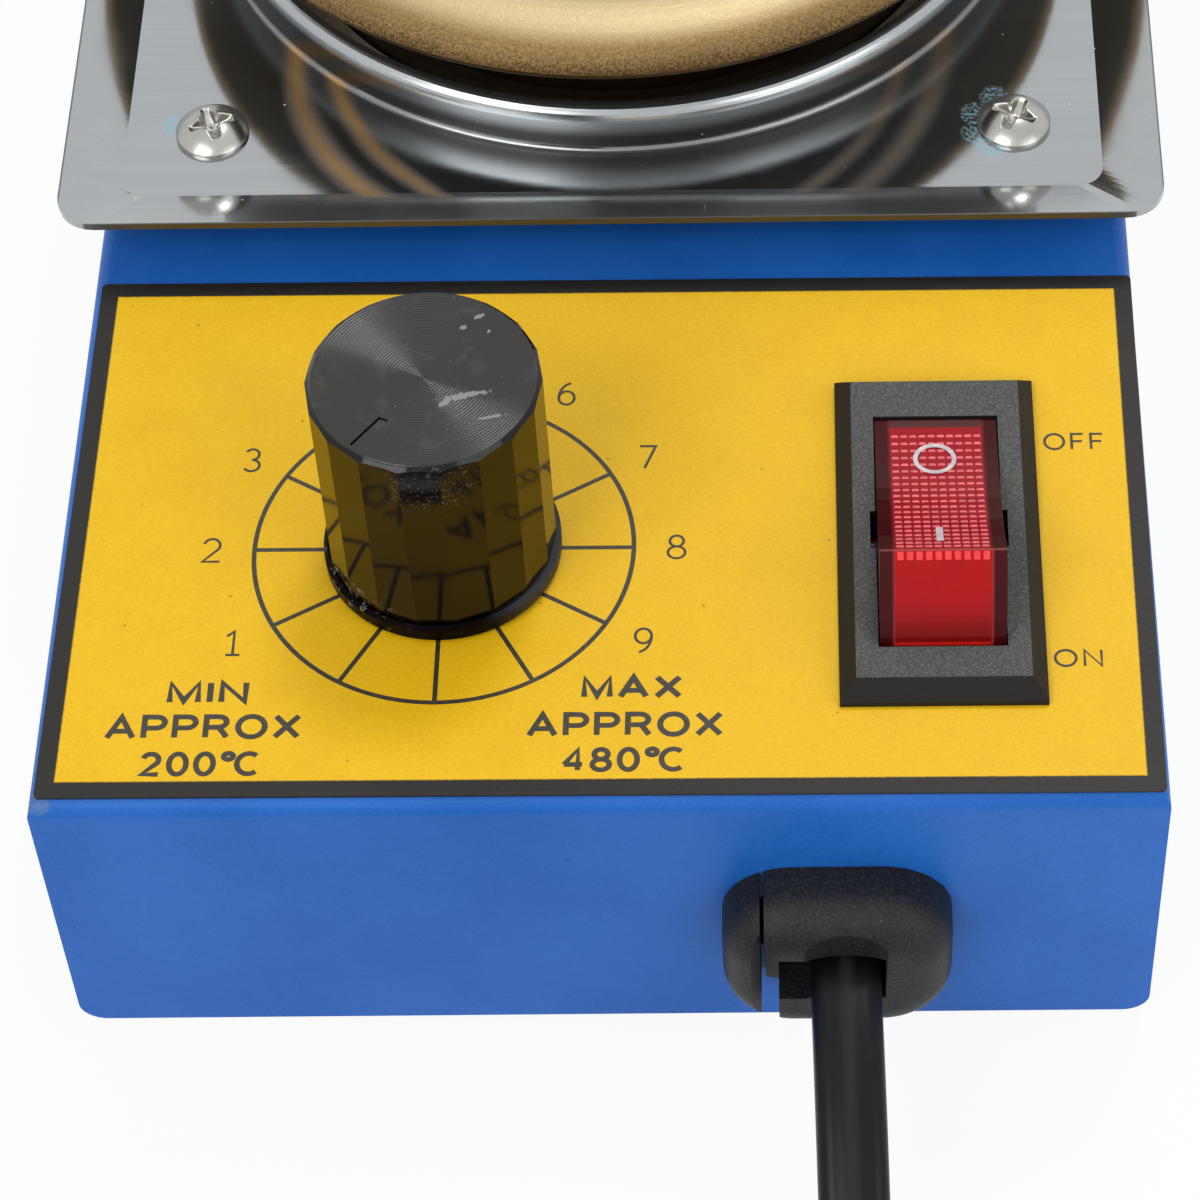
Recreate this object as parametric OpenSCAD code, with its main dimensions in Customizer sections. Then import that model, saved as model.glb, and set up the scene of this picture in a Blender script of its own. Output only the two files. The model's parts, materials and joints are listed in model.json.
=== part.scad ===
// Small solder pot: a heated crucible at the back of a folded steel housing,
// with a dial, a lit rocker switch and a mains cord at the front.
// Millimetres. X to the right, Y to the back, Z up. The origin is on the bench
// under the centre of the pot, cord left out.

/* [Housing] */
// Width of the folded housing
housing_w = 80; // [76:1:96]
// Length of the housing, front flap to rear flap
housing_l = 132.5; // [130:0.5:150]
// Height of the housing's flaps
housing_h = 27.8; // [27:0.2:36]
// Thickness of the housing's sheet
sheet_t = 1; // [0.8:0.1:1.2]
// Outside radius of the housing's bends
bend_r = 1.3; // [1.2:0.1:2.4]
// Radius at the lower corners of the two flaps
flap_corner_r = 2; // [1:0.5:4]
// Height of a rubber foot
foot_h = 3; // [2.4:0.2:6]
// Radius of a rubber foot
foot_r = 5.5; // [4:0.5:6.5]

/* [Label] */
// Bare edge of the housing beside the label
label_side = 0.425; // [0.4:0.025:3]
// Bare edge between the front flap and the label
label_front = 0.65; // [0.4:0.05:1.2]
// Gap between the label and the tray's rim, in plan
label_rear = 1.35; // [1:0.05:2]
// Thickness of the label's film
label_t = 0.15; // [0.1:0.05:0.3]
// Turn of the label on the housing, in degrees
label_turn = -0.23; // [-0.4:0.01:0.4]

/* [Drip tray] */
// Distance of the crucible's axis from the rear flap
pot_in = 40; // [38:0.5:44]
// Width of the tray's flat bottom
tray_flat = 76.2; // [74:0.2:80]
// Width of the tray's raised rim, in plan
rim_run = 4.3; // [3:0.1:6]
// Rise of the tray's rim
rim_rise = 1.6; // [0.8:0.1:3]
// Thickness of the tray's sheet
tray_t = 0.6; // [0.4:0.1:0.8]
// Height of the tray's flat above the housing
tray_lift = 4; // [3.4:0.1:7]
// Room between the heat shield and the collar's lip
collar_room = 1; // [0.6:0.1:1.5]
// Height of the collar above the tray
collar_h = 4.15; // [3.4:0.05:6]
// Spacing of the tray's screws, in both directions
screw_pitch = 62.6; // [61:0.2:66]

/* [Crucible] */
// Radius of the bath
bath_r = 25; // [23:0.5:25.5]
// Depth of the bath below the brim's crest
bath_depth = 28; // [24:0.5:29]
// Thickness of the crucible's wall
cup_wall = 1.5; // [1:0.1:1.6]
// Thickness of the crucible's floor
cup_floor = 2.5; // [2:0.1:3]
// Width of the brim, from the bath to its edge
brim_w = 10.4; // [9:0.1:12]
// Height of the brim's crest above the housing
crest_lift = 16; // [15:0.2:20]
// Thickness of the brim
brim_t = 1.1; // [0.8:0.1:1.4]

/* [Heater] */
// Thickness of the heater band
band_t = 1.1; // [0.8:0.1:1.2]
// Height of the heater band
band_h = 16; // [12:0.5:17]
// Thickness of the insulation wrap
wrap_t = 2.45; // [2:0.05:3]
// Thickness of the heat shield
shield_t = 0.8; // [0.5:0.1:0.9]
// Radius of the pot's stud
stud_r = 2.5; // [2:0.1:3]

/* [Dial control] */
// Place of the knob's axis, right of the middle
knob_x = -11.7; // [-14:0.1:-9]
// Distance of the knob's axis in front of the label's middle
knob_fwd = 2.1; // [0:0.1:3.6]
// Height of the knob's top above the label
knob_h = 19.2; // [17:0.1:24]
// Radius of the knob's grip
knob_r = 8.3; // [7.9:0.1:9.5]
// Number of flats round the grip
knob_flats = 18; // [14:1:28]
// Radius of the knob's skirt
skirt_r = 8.65; // [8.6:0.05:10]
// Height of the knob's skirt
skirt_h = 1.3; // [0.8:0.1:2]
// Radius of the control's shaft
shaft_r = 3; // [2.6:0.1:3.1]
// Radius of the control's threaded bush
bush_r = 3.5; // [3.4:0.1:3.8]

/* [Rocker switch] */
// Place of the switch, right of the middle
switch_x = 24.4; // [23.4:0.1:25.4]
// Distance of the switch's middle in front of the label's middle
switch_fwd = 1.9; // [0.7:0.1:2.8]
// Width of the switch's bezel
bezel_w = 14.8; // [14.6:0.1:16]
// Length of the switch's bezel
bezel_l = 29.7; // [29.4:0.1:32]
// Height of the bezel
bezel_h = 2; // [1.8:0.1:2.4]
// Chamfer round the bezel
bezel_chamfer = 1.2; // [0.8:0.1:1.3]
// Width of the rocker
rocker_w = 9; // [8.6:0.1:9.2]
// Radius of the rocker's ends about its pivot
rocker_r = 10.8; // [10.6:0.05:11]
// Tilt of the rocker at rest, in degrees
rocker_tilt = 19.5; // [14:0.5:20]

/* [Strain relief] */
// Place of the strain relief, right of the middle
relief_x = 16.7; // [15.7:0.1:18]
// Width of its head
relief_w = 16.6; // [15.8:0.1:18]
// Height of its head
relief_h = 14; // [13.2:0.1:14.8]

/* [Cord] */
// Width of the flat cord
cord_w = 5.1; // [4.6:0.1:5.4]
// Thickness of the flat cord
cord_t = 3.4; // [3:0.1:3.8]

/* [Hidden] */
$fn = 72;

play = 0.05;                // radial play of a shaft or screw in its hole
slip = 0.2;                 // play of a sheet part beside its neighbour
past = 1;                   // reach of a cutter beyond a face

// Places along Y and Z
tray_half = tray_flat / 2 + rim_run;
pot_back = housing_l - pot_in;
front_y = -(pot_back + tray_half) / 2;
rear_y = front_y + housing_l;
pot_y = rear_y - pot_in;
label_w = housing_w - 2 * label_side;
label_l = pot_back - tray_half - label_front - label_rear;
label_y = front_y + label_front + label_l / 2;
top_z = foot_h + housing_h;
label_z = top_z + label_t;
under_z = top_z - sheet_t;
plate_z = foot_h + sheet_t;

// Feet and base screws
foot_x = housing_w / 2 - 7.8;
foot_in = 7;
tab_l = 9;
tab_w = 8;
tab_in = 22;
base_screw_r = 1.4;
base_screw_l = 6;
base_head_r = 2.7;
base_head_h = 1.5;
base_screw_x = housing_w / 2 - sheet_t - tab_w / 2 - 0.5;

// Tray fastenings
m3_r = 1.5;
m3_hole_r = 1.7;
pan_r = 2.85;
pan_h = 1.5;
pan_side = 0.3;
dome_r = (pow(pan_r, 2) + pow(pan_h - pan_side, 2)) / (2 * (pan_h - pan_side));
nut_af = 5.5;
nut_h = 2.4;
spacer_r = 3.2;
screw_at = [for (sx = [-1, 1], sy = [-1, 1]) [sx * screw_pitch / 2, pot_y + sy * screw_pitch / 2]];
tray_z = top_z + tray_lift;
flange_half = screw_pitch / 2 + 4.7;
flange_z = top_z + shield_t;
tray_corner_r = 2;

// Crucible, heater and stud
crest_z = top_z + crest_lift;
bath_z = crest_z - bath_depth;
cup_r = bath_r + cup_wall;
cup_z = bath_z - cup_floor;
brim_r = bath_r + brim_w;
brim_crest_r = bath_r + 5;
brim_arc_r = 8;
boss_r = 6;
boss_h = 2;
disc_h = 3;
disc_r = 12;
shield_floor_z = cup_z - boss_h - disc_h - shield_t;
washer_t = 0.8;
stud_nut_h = 3;
stud_nut_af = 8;
stud_low = shield_floor_z - washer_t - stud_nut_h - 0.4;
stud_deep = 3;
band_top = top_z + 3.3;
band_r = cup_r + play + band_t;
wrap_play = 0.3;
shield_r = band_r + wrap_t + 2 * wrap_play + shield_t;
collar_r = shield_r + collar_room;
ear_gap = 2.4;
ear_t = 1;
ear_h = 8;
ear_out = shield_r - shield_t - band_r - 0.5;
wrap_in = band_r + wrap_play;
wrap_out = wrap_in + wrap_t;
lead_r = 0.7;

// Dial control
knob_y = label_y - knob_fwd;
knob_gap = 0.4;
knob_top = label_z + knob_h;
knob_top_bevel = 0.45;
knob_cave_r = knob_r - 1.3;
knob_cave_h = 7;
knob_boss_r = 4.6;
shaft_flat = 0.75;
shaft_top = knob_top - 3;
bush_h = 4.2;
bush_flange_r = 5;
panel_washer_t = 0.5;
panel_nut_af = 10;
panel_nut_h = 2;
can_r = 8.3;
can_t = 0.6;
can_h = 9;
can_low = under_z - can_h;
track_h = 1.2;
rotor_r = 6;
rotor_h = 1.5;
rotor_z = can_low + track_h + 1.1;
lug_l = 1.4;
board_t = 1.6;
board_top = can_low - lug_l;
board_low = board_top - board_t;
board_w = 34;
board_l = 32;
board_in = 5.6;
board_x = knob_x - 2.3;
board_y = front_y + sheet_t + board_in + board_l / 2;
board_side = board_x + 11;
triac_x = board_x - 6;
triac_y = board_y - 2;
triac_w = 10;
triac_h = 4.5;
sink_w = 22;
sink_l = 18;
sink_base_t = 1.5;
fin_t = 1;
fin_h = 4.5;
sink_top = board_low - triac_h;

// Switch
switch_y = label_y - switch_fwd;
rocker_shift = -0.4;
pivot_z = top_z - 0.7;
pivot_y = switch_y + rocker_shift;
frame_w = 12.8;
frame_l = 26.6;
frame_h = 17;
frame_low = top_z - frame_h;
side_play = 0.1;
well_w = rocker_w + 2 * side_play;
mouth_l = 2 * rocker_r - 0.3;
well_l = 2 * rocker_r + 0.8;
lip_t = 0.5;
well_low = frame_low + 3.7;
pivot_pin_r = 1.2;
pivot_pin_l = 0.8;
notch_l = 3.4;
rocker_wall = 1.1;
rocker_edge = 56.6;         // half angle between the rocker's two top edges
rocker_foot = 22;           // angle of its ends below the pivot
rocker_sag = 1.3;           // hollow of its top
lamp_r = 1.7;
lamp_l = 9;
lamp_lift = 0.6;
tab_pitch = 8;
tab_t = 0.8;
blade_w = 5;
tab_low = frame_low - 6.5;

// Terminal block
block_w = 25;
block_l = 14;
block_h = 12;
block_base_h = 6;
block_room = 7;
block_x = 22;
block_y = pot_y - shield_r - block_room - block_l / 2;
pole_pitch = 8;
pole_w = 6.6;
pole_screw_in = 3.6;
pole_screw_r = 1.45;
pole_screw_h = 3.2;
block_hole_z = plate_z + 5.5;
block_hole_r = 1.6;

// Strain relief and cord
relief_z = foot_h + 12.6;
relief_out = 5.4;
relief_corner_r = 5.2;
relief_edge_r = 3.2;
relief_hole_w = 13.4;
relief_hole_h = 9;
slot_x = 17.3;
slot_w = cord_w + 0.6;
wedge_x = relief_x - 5.25;
core_in = 1.95;
core_z = relief_z + 0.4;
slot_low = core_z - cord_t / 2 - 0.7;
slot_high = core_z + cord_t / 2 + 0.9;
hood_corner_r = 1.4;
sill_back = 1;
sill_corner_r = 2.4;
hollow_r = 9;
hollow_deep = 0.5;
wedge_bevel = 1.3;
core_pitch = 2.6;
run_points = [
    [17.3, -65.5, 16], [17.3, -70, 16], [17.3, -74, 15.5], [17.4, -78, 14.6], [17.5, -82, 13.2],
    [17.6, -86, 11.3], [17.7, -90, 9.1], [17.8, -94, 6.9], [17.8, -98, 4.9], [17.8, -102, 3.3],
    [17.8, -106, 2.3], [17.8, -110, 1.8], [17.8, -114, 1.7], [17.8, -120, 1.7]
];
tail_points = [
    [3, -100.5, 5.1], [8.1, -104, 5.1], [13, -108.6, 5.2], [17.8, -113.6, 5.3], [22, -118.6, 5.1],
    [25.8, -124, 4.6], [28.8, -129.6, 4.1], [31, -135.4, 4.4], [32, -141, 5.5], [32, -145, 5.5]
];
coil_x = -15.4;
coil_y = -127.5;
coil_in_r = 20.2;
coil_out_r = 35.8;
coil_turns_high = 2;
plug_x = 32;
plug_nose_y = -145;
plug_nose_l = 12;
plug_w = 20;
plug_h = 11;
plug_l = 24;
pin_pitch = 12.7;
pin_w = 6.3;
pin_t = 1.5;
pin_l = 16;

// Points of an arc about c from angle a0 to a1
function arc(c, r, a0, a1, n = 8) =
    [for (i = [0:n]) let (a = a0 + (a1 - a0) * i / n) c + r * [cos(a), sin(a)]];
function unit(v) = v / norm(v);
function heading(p, i) = unit(p[min(i + 1, len(p) - 1)] - p[max(i - 1, 0)]);
// Section of the flat cord: a wide oval with full ends
cord_section = [
    for (i = [0:11]) let (a = 15 + i * 30)
        [
            cord_w / 2 * sign(cos(a)) * pow(abs(cos(a)), 0.8),
            cord_t / 2 * sign(sin(a)) * pow(abs(sin(a)), 0.8)
        ]
];
lead_section = [for (i = [0:7]) lead_r * [cos(i * 45), sin(i * 45)]];

// A closed tube of one section along a route; up is any direction the route never takes
module tube(route, section, up = [0, 0, 1]) {
    n = len(section);
    m = len(route);
    rings = [
        for (i = [0:m - 1])
            let (t = heading(route, i), side = unit(cross(t, up)), over = cross(side, t))
            for (q = section) route[i] + q[0] * side + q[1] * over
    ];
    walls = [
        for (i = [0:m - 2], j = [0:n - 1])
            [i * n + j, (i + 1) * n + j, (i + 1) * n + (j + 1) % n, i * n + (j + 1) % n]
    ];
    near = [for (j = [0:n - 1]) j];
    far = [for (j = [0:n - 1]) (m - 1) * n + n - 1 - j];
    polyhedron(points = rings, faces = concat([near], walls, [far]), convexity = 6);
}

// Half section of a turned disc with a bevelled top edge
module bevelled_half(r, h, bevel) {
    polygon([[0, 0], [r, 0], [r, h - bevel], [r - bevel, h], [0, h]]);
}

// A flat rectangle with rounded corners, about its middle
module round_square(w, l, r) {
    square([w - 2 * r, l], center = true);
    square([w, l - 2 * r], center = true);
    for (sx = [-1, 1], sy = [-1, 1])
        translate([sx * (w / 2 - r), sy * (l / 2 - r)]) circle(r);
}

// Outline of a sheet end with two bent corners at the top, its foot on the X axis
module bent_end(w, h, r) {
    right = arc([w / 2 - r, h - r], r, 0, 90);
    left = arc([r - w / 2, h - r], r, 90, 180);
    polygon(concat([[w / 2, 0]], right, left, [[-w / 2, 0]]));
}

// A box open below with bends on its four upper edges
module bent_box(w, l, h, r) {
    intersection() {
        rotate([90, 0, 0]) linear_extrude(l, center = true) bent_end(w, h, r);
        rotate([90, 0, 90]) linear_extrude(w, center = true) bent_end(l, h, r);
    }
}

module hex_nut(across, h, hole_r) {
    difference() {
        cylinder(d = across / cos(30), h = h, $fn = 6);
        translate([0, 0, -past]) cylinder(r = hole_r, h = h + 2 * past);
    }
}

module ring(r_out, r_in, h) {
    difference() {
        cylinder(r = r_out, h = h);
        translate([0, 0, -past]) cylinder(r = r_in, h = h + 2 * past);
    }
}

// Cross recess of a screw head, cut downwards from its top
module cross_recess(l, w, deep) {
    for (a = [0, 90]) rotate(a) translate([-l / 2, -w / 2, -deep]) cube([l, w, deep + past]);
}

module base_screw_places() {
    for (sx = [-1, 1], y = [front_y + tab_in, rear_y - tab_in])
        translate([sx * base_screw_x, y, 0]) children();
}

module housing() {
    mid_y = (front_y + rear_y) / 2;
    color([0.20, 0.42, 0.72]) difference() {
        union() {
            translate([0, mid_y, foot_h]) difference() {
                bent_box(housing_w, housing_l, housing_h, bend_r);
                translate([0, 0, -sheet_t])
                    bent_box(housing_w - 2 * sheet_t, housing_l - 2 * sheet_t, housing_h, bend_r - sheet_t);
            }
            for (sx = [-1, 1], y = [front_y + tab_in, rear_y - tab_in])
                translate([sx * (housing_w - sheet_t - tab_w) / 2, y, plate_z + sheet_t / 2])
                    cube([tab_w + sheet_t, tab_l, sheet_t], center = true);
        }
        for (sx = [-1, 1], y = [front_y, rear_y])
            translate([sx * housing_w / 2, y, foot_h]) flap_corner_cut(sx);
        for (sx = [-1, 1], y = [front_y + sheet_t, rear_y - sheet_t])
            translate([sx * housing_w / 2, y, foot_h]) flap_seam();
        translate([0, pot_y, under_z - past]) cylinder(r = shield_r + 0.5, h = sheet_t + 2 * past);
        for (p = screw_at)
            translate([p[0], p[1], under_z - past]) cylinder(r = m3_hole_r, h = sheet_t + 2 * past);
        translate([knob_x, knob_y, under_z - past]) cylinder(r = bush_r + play, h = sheet_t + 2 * past);
        translate([switch_x, switch_y, under_z + sheet_t / 2])
            cube([frame_w + 2 * slip, frame_l + 2 * slip, sheet_t + 2 * past], center = true);
        translate([relief_x, front_y + sheet_t / 2, relief_z])
            rotate([90, 0, 0]) linear_extrude(sheet_t + 2 * past, center = true)
                round_square(relief_hole_w, relief_hole_h, relief_hole_h / 2 - 0.1);
        base_screw_places()
            translate([0, 0, plate_z - past]) cylinder(r = base_screw_r + play, h = sheet_t + 2 * past);
    }
}

// What rounds the lower corner of a flap
module flap_corner_cut(sx) {
    rotate([90, 0, 0]) linear_extrude(2 * sheet_t, center = true) scale([sx, 1]) difference() {
        translate([-flap_corner_r, -past]) square([flap_corner_r + past, flap_corner_r + past]);
        translate([-flap_corner_r, flap_corner_r]) circle(flap_corner_r);
    }
}

// The open seam between a flap and a side wall, with its relief notch at the bend
module flap_seam() {
    seam = 0.16;
    translate([0, 0, (housing_h - bend_r) / 2 - past])
        cube([2 * sheet_t + 0.2, seam, housing_h - bend_r + past], center = true);
    translate([0, 0, housing_h - bend_r]) rotate([0, 90, 0])
        cylinder(r = 0.35, h = 2 * sheet_t + 0.2, center = true);
}

module bottom_plate() {
    w = housing_w - 2 * sheet_t - 2 * slip;
    l = housing_l - 2 * sheet_t - 2 * slip;
    mid_y = (front_y + rear_y) / 2;
    vent_w = 2.6;
    vent_l = 34;
    vent_pitch = 7;
    color([0.24, 0.40, 0.66]) difference() {
        translate([0, mid_y, foot_h]) linear_extrude(sheet_t) difference() {
            round_square(w, l, 1.5);
            for (i = [-3 : 3])
                translate([i * vent_pitch, pot_y - mid_y]) round_square(vent_w, vent_l, vent_w / 2 - 0.05);
        }
        base_screw_places()
            translate([0, 0, foot_h - past]) cylinder(r = m3_hole_r, h = sheet_t + 2 * past);
    }
}

module foot(sx, y) {
    color([0.07, 0.07, 0.08]) translate([sx * foot_x, y, 0]) rotate_extrude()
        polygon(concat([[0, 0]], arc([foot_r - 1, 0.7], 0.7, -90, 0, 5), [[foot_r, foot_h], [0, foot_h]]));
}

module foot_front_left() foot(-1, front_y + foot_in);
module foot_front_right() foot(1, front_y + foot_in);
module foot_rear_left() foot(-1, rear_y - foot_in);
module foot_rear_right() foot(1, rear_y - foot_in);

module base_screws() {
    color([0.75, 0.75, 0.74]) base_screw_places() translate([0, 0, foot_h]) difference() {
        union() {
            translate([0, 0, -base_head_h])
                cylinder(r1 = base_head_r - 0.6, r2 = base_head_r, h = base_head_h);
            cylinder(r = base_screw_r, h = base_screw_l);
        }
        rotate([180, 0, 0]) translate([0, 0, base_head_h]) cross_recess(2.8, 0.7, 0.9);
    }
}

module label() {
    color([0.93, 0.75, 0.16]) difference() {
        translate([0.2, label_y, top_z]) rotate(label_turn)
            linear_extrude(label_t) round_square(label_w, label_l, 0.4);
        translate([knob_x, knob_y, top_z - past]) cylinder(r = bush_r + 2 * play, h = label_t + 2 * past);
        translate([switch_x, switch_y, top_z])
            cube([frame_w + 2 * slip, frame_l + 2 * slip, label_t + 2 * past], center = true);
    }
}

// A shallow tray form: a flat square below, a wider one with an upright edge above
module dish(half_low, half_top, z_low, z_top, edge) {
    low_at = half_low - tray_corner_r;
    top_at = half_top - tray_corner_r - 1;
    hull() for (sx = [-1, 1], sy = [-1, 1]) {
        translate([sx * low_at, sy * low_at, z_low]) cylinder(r = tray_corner_r, h = 0.01, $fn = 32);
        translate([sx * top_at, sy * top_at, z_top - edge])
            cylinder(r = tray_corner_r + 1, h = edge, $fn = 32);
    }
}

// Profile of the drawn collar: a tight fillet off the tray, an upright wall and a shoulder rolled inward
function collar_profile() =
    let (toe = 0.5, roll = 1.2, wall = collar_r + roll, h = collar_h)
    concat(
        [[wall + toe + 2, 0]],
        arc([wall + toe, toe], toe, -90, -180, 5),
        arc([collar_r, h - roll], roll, 0, 90, 8),
        arc([collar_r, h - roll], roll - tray_t, 90, 0, 8),
        arc([wall + toe, toe], toe + tray_t, -180, -90, 6),
        [[wall + toe + 2, -tray_t]]
    );

module drip_tray() {
    color([0.78, 0.78, 0.76]) translate([0, pot_y, tray_z]) {
        difference() {
            dish(tray_flat / 2, tray_half, -tray_t, rim_rise, tray_t);
            dish(tray_flat / 2 - 0.1, tray_half - 0.1, 0, rim_rise + 0.01, 0.01);
            translate([0, 0, -past - tray_t])
                cylinder(r = collar_r + 3.4, h = tray_t + 2 * past, $fn = 128);
            for (sx = [-1, 1], sy = [-1, 1])
                translate([sx * screw_pitch / 2, sy * screw_pitch / 2, -tray_t - past])
                    cylinder(r = m3_hole_r, h = tray_t + 2 * past);
        }
        rotate_extrude($fn = 128) polygon(collar_profile());
    }
}

module tray_screws() {
    low = under_z - nut_h - 1;
    color([0.86, 0.86, 0.85]) for (p = screw_at) translate([p[0], p[1], 0]) difference() {
        union() {
            translate([0, 0, low]) cylinder(r = m3_r, h = tray_z - low);
            translate([0, 0, tray_z]) rotate_extrude()
                polygon(concat(
                    [[0, 0], [pan_r, 0]],
                    arc([0, pan_h - dome_r], dome_r, acos(pan_r / dome_r), 90, 10)
                ));
        }
        translate([0, 0, tray_z + pan_h]) rotate(20) cross_recess(3.1, 0.75, 1.2);
    }
}

module tray_spacers() {
    color([0.80, 0.80, 0.78]) for (p = screw_at)
        translate([p[0], p[1], flange_z]) ring(spacer_r, m3_hole_r, tray_z - tray_t - flange_z);
}

module tray_nuts() {
    color([0.72, 0.72, 0.72]) for (p = screw_at)
        translate([p[0], p[1], under_z - nut_h]) hex_nut(nut_af, nut_h, m3_r + play);
}

// Turned section of the crucible: domed brim, round-edged mouth, straight cup and foot boss
function crucible_profile() =
    let (
        c = [brim_crest_r, crest_z - brim_arc_r],
        edge = acos((brim_r - brim_crest_r - 0.3) / brim_arc_r),
        lip = [brim_crest_r - 2.4, crest_z - 2.95],
        under = brim_arc_r - brim_t
    )
    concat(
        arc(c, brim_arc_r, edge, 102, 10),
        arc(lip, lip[0] - bath_r, 100, 180, 7),
        arc([bath_r - 4, bath_z + 4], 4, 0, -90, 6),
        [[0, bath_z], [0, cup_z - boss_h], [boss_r, cup_z - boss_h], [boss_r, cup_z]],
        arc([cup_r - 5, cup_z + 5], 5, -90, 0, 6),
        arc(c, under, acos((cup_r - brim_crest_r) / under), edge + 1, 8),
        arc([brim_r - brim_t / 2, c[1] + (brim_arc_r - brim_t / 2) * sin(edge)], brim_t / 2, -100, 10, 4)
    );

module crucible() {
    color([0.78, 0.66, 0.38]) translate([0, pot_y, 0]) difference() {
        rotate_extrude($fn = 128) polygon(crucible_profile());
        translate([0, 0, cup_z - boss_h - past]) cylinder(r = stud_r + play, h = stud_deep + past);
    }
}

module heater_band() {
    low = band_top - band_h;
    ear_x = ear_gap / 2 + ear_t / 2;
    ear_y = pot_y + band_r + ear_out / 2 - 0.4;
    ear_z = low + band_h / 2;
    color([0.35, 0.33, 0.30]) difference() {
        union() {
            translate([0, pot_y, low]) ring(band_r, cup_r + play, band_h);
            for (sx = [-1, 1])
                translate([sx * ear_x, ear_y, ear_z]) cube([ear_t, ear_out + 0.8, ear_h], center = true);
        }
        translate([0, ear_y, ear_z]) cube([ear_gap, ear_out + 8, band_h + 2 * past], center = true);
        translate([0, ear_y + 0.3, ear_z]) rotate([0, 90, 0])
            cylinder(r = 0.8 + play, h = 12, center = true);
    }
}

module band_screw() {
    reach = ear_gap / 2 + ear_t;
    place = [0, pot_y + band_r + ear_out / 2 - 0.1, band_top - band_h / 2];
    color([0.70, 0.70, 0.68]) translate(place) rotate([0, 90, 0]) {
        translate([0, 0, -reach - 1.6]) cylinder(r = 0.8, h = 2 * reach + 3.2);
        translate([0, 0, reach]) cylinder(r = 1.2, h = 1);
        translate([0, 0, -reach - 1]) cylinder(d = 2.4, h = 1, $fn = 6);
    }
}

module insulation_wrap() {
    low = band_top - band_h;
    color([0.88, 0.87, 0.82]) translate([0, pot_y, low]) rotate([0, 0, 105])
        rotate_extrude(angle = 330)
            translate([wrap_in, 0]) square([wrap_out - wrap_in, band_top - 1.4 - low]);
}

module heat_shield() {
    color([0.70, 0.70, 0.69]) translate([0, pot_y, 0]) difference() {
        union() {
            translate([0, 0, top_z]) linear_extrude(shield_t)
                round_square(2 * flange_half, 2 * flange_half, 6);
            translate([0, 0, shield_floor_z])
                cylinder(r = shield_r, h = top_z - shield_floor_z + shield_t / 2);
        }
        translate([0, 0, shield_floor_z + shield_t]) cylinder(r = shield_r - shield_t, h = crest_z);
        translate([0, 0, shield_floor_z - past]) cylinder(r = stud_r + play, h = shield_t + 2 * past);
        for (sx = [-1, 1], sy = [-1, 1])
            translate([sx * screw_pitch / 2, sy * screw_pitch / 2, top_z - past])
                cylinder(r = m3_hole_r, h = shield_t + 2 * past);
        for (sx = [-1, 1])
            translate([sx * 4, -shield_r, cup_z - 3]) rotate([90, 0, 0])
                cylinder(r = 1.4, h = 8, center = true);
        for (a = [45 : 90 : 315])
            rotate(a) translate([21, 0, shield_floor_z - past]) cylinder(r = 3, h = shield_t + 2 * past);
    }
}

module insulation_disc() {
    color([0.90, 0.88, 0.82]) translate([0, pot_y, shield_floor_z + shield_t])
        ring(disc_r, stud_r + play, disc_h);
}

module pot_stud() {
    color([0.72, 0.72, 0.70]) translate([0, pot_y, stud_low])
        cylinder(r = stud_r, h = cup_z - boss_h + stud_deep - stud_low - 0.2);
}

module pot_washer() {
    color([0.74, 0.74, 0.72]) translate([0, pot_y, shield_floor_z - washer_t])
        ring(stud_r + 2.5, stud_r + play, washer_t);
}

module pot_nut() {
    color([0.70, 0.70, 0.68]) translate([0, pot_y, shield_floor_z - washer_t - stud_nut_h])
        hex_nut(stud_nut_af, stud_nut_h, stud_r + play);
}

// Round section with one flat, for the shaft and the knob's bore
module flatted(r, flat) {
    intersection() {
        circle(r);
        translate([-r, -r]) square([2 * r, 2 * r - flat]);
    }
}

module knob() {
    low = label_z + knob_gap;
    h = knob_top - low;
    turn = 360 / knob_flats;
    grip = [for (i = [0:knob_flats - 1]) knob_r * [cos(i * turn), sin(i * turn)]];
    color([0.05, 0.05, 0.06]) translate([knob_x, knob_y, low]) difference() {
        union() {
            intersection() {
                linear_extrude(h) polygon(grip);
                rotate_extrude() bevelled_half(knob_r, h, knob_top_bevel);
            }
            rotate_extrude() bevelled_half(skirt_r, skirt_h, 0.3);
        }
        translate([0, 0, -past]) difference() {
            cylinder(r = knob_cave_r, h = knob_cave_h + past);
            translate([0, 0, past + panel_nut_h + bush_h - 1.6]) cylinder(r = knob_boss_r, h = knob_cave_h);
        }
        translate([0, 0, -past]) linear_extrude(shaft_top - low + past + 0.2)
            flatted(shaft_r + play, shaft_flat);
        rotate(232) translate([4.5, -0.1, h - 0.2]) {
            cube([knob_r - 5.2, 0.2, past]);
            translate([0.1, 0.1, 0]) rotate(104) translate([0, -0.1, 0]) cube([0.65, 0.2, past]);
        }
    }
}

module control_shaft() {
    color([0.72, 0.72, 0.70]) translate([knob_x, knob_y, rotor_z]) {
        cylinder(r = shaft_r, h = label_z + bush_h - rotor_z + 0.3);
        linear_extrude(shaft_top - rotor_z) flatted(shaft_r, shaft_flat);
    }
}

module control_rotor() {
    color([0.45, 0.30, 0.18]) translate([knob_x, knob_y, rotor_z]) {
        ring(rotor_r, shaft_r + play, rotor_h);
        translate([rotor_r - 1.6, 0, -0.8]) cylinder(r = 0.6, h = 1);
    }
}

module control_bush() {
    flange = 0.6;
    color([0.74, 0.74, 0.72]) translate([knob_x, knob_y, under_z - can_t]) difference() {
        union() {
            translate([0, 0, -flange]) cylinder(r = bush_flange_r, h = flange);
            cylinder(r = bush_r, h = label_z + bush_h - under_z + can_t);
        }
        translate([0, 0, -flange - past]) cylinder(r = shaft_r + play, h = label_z + bush_h);
    }
}

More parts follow.
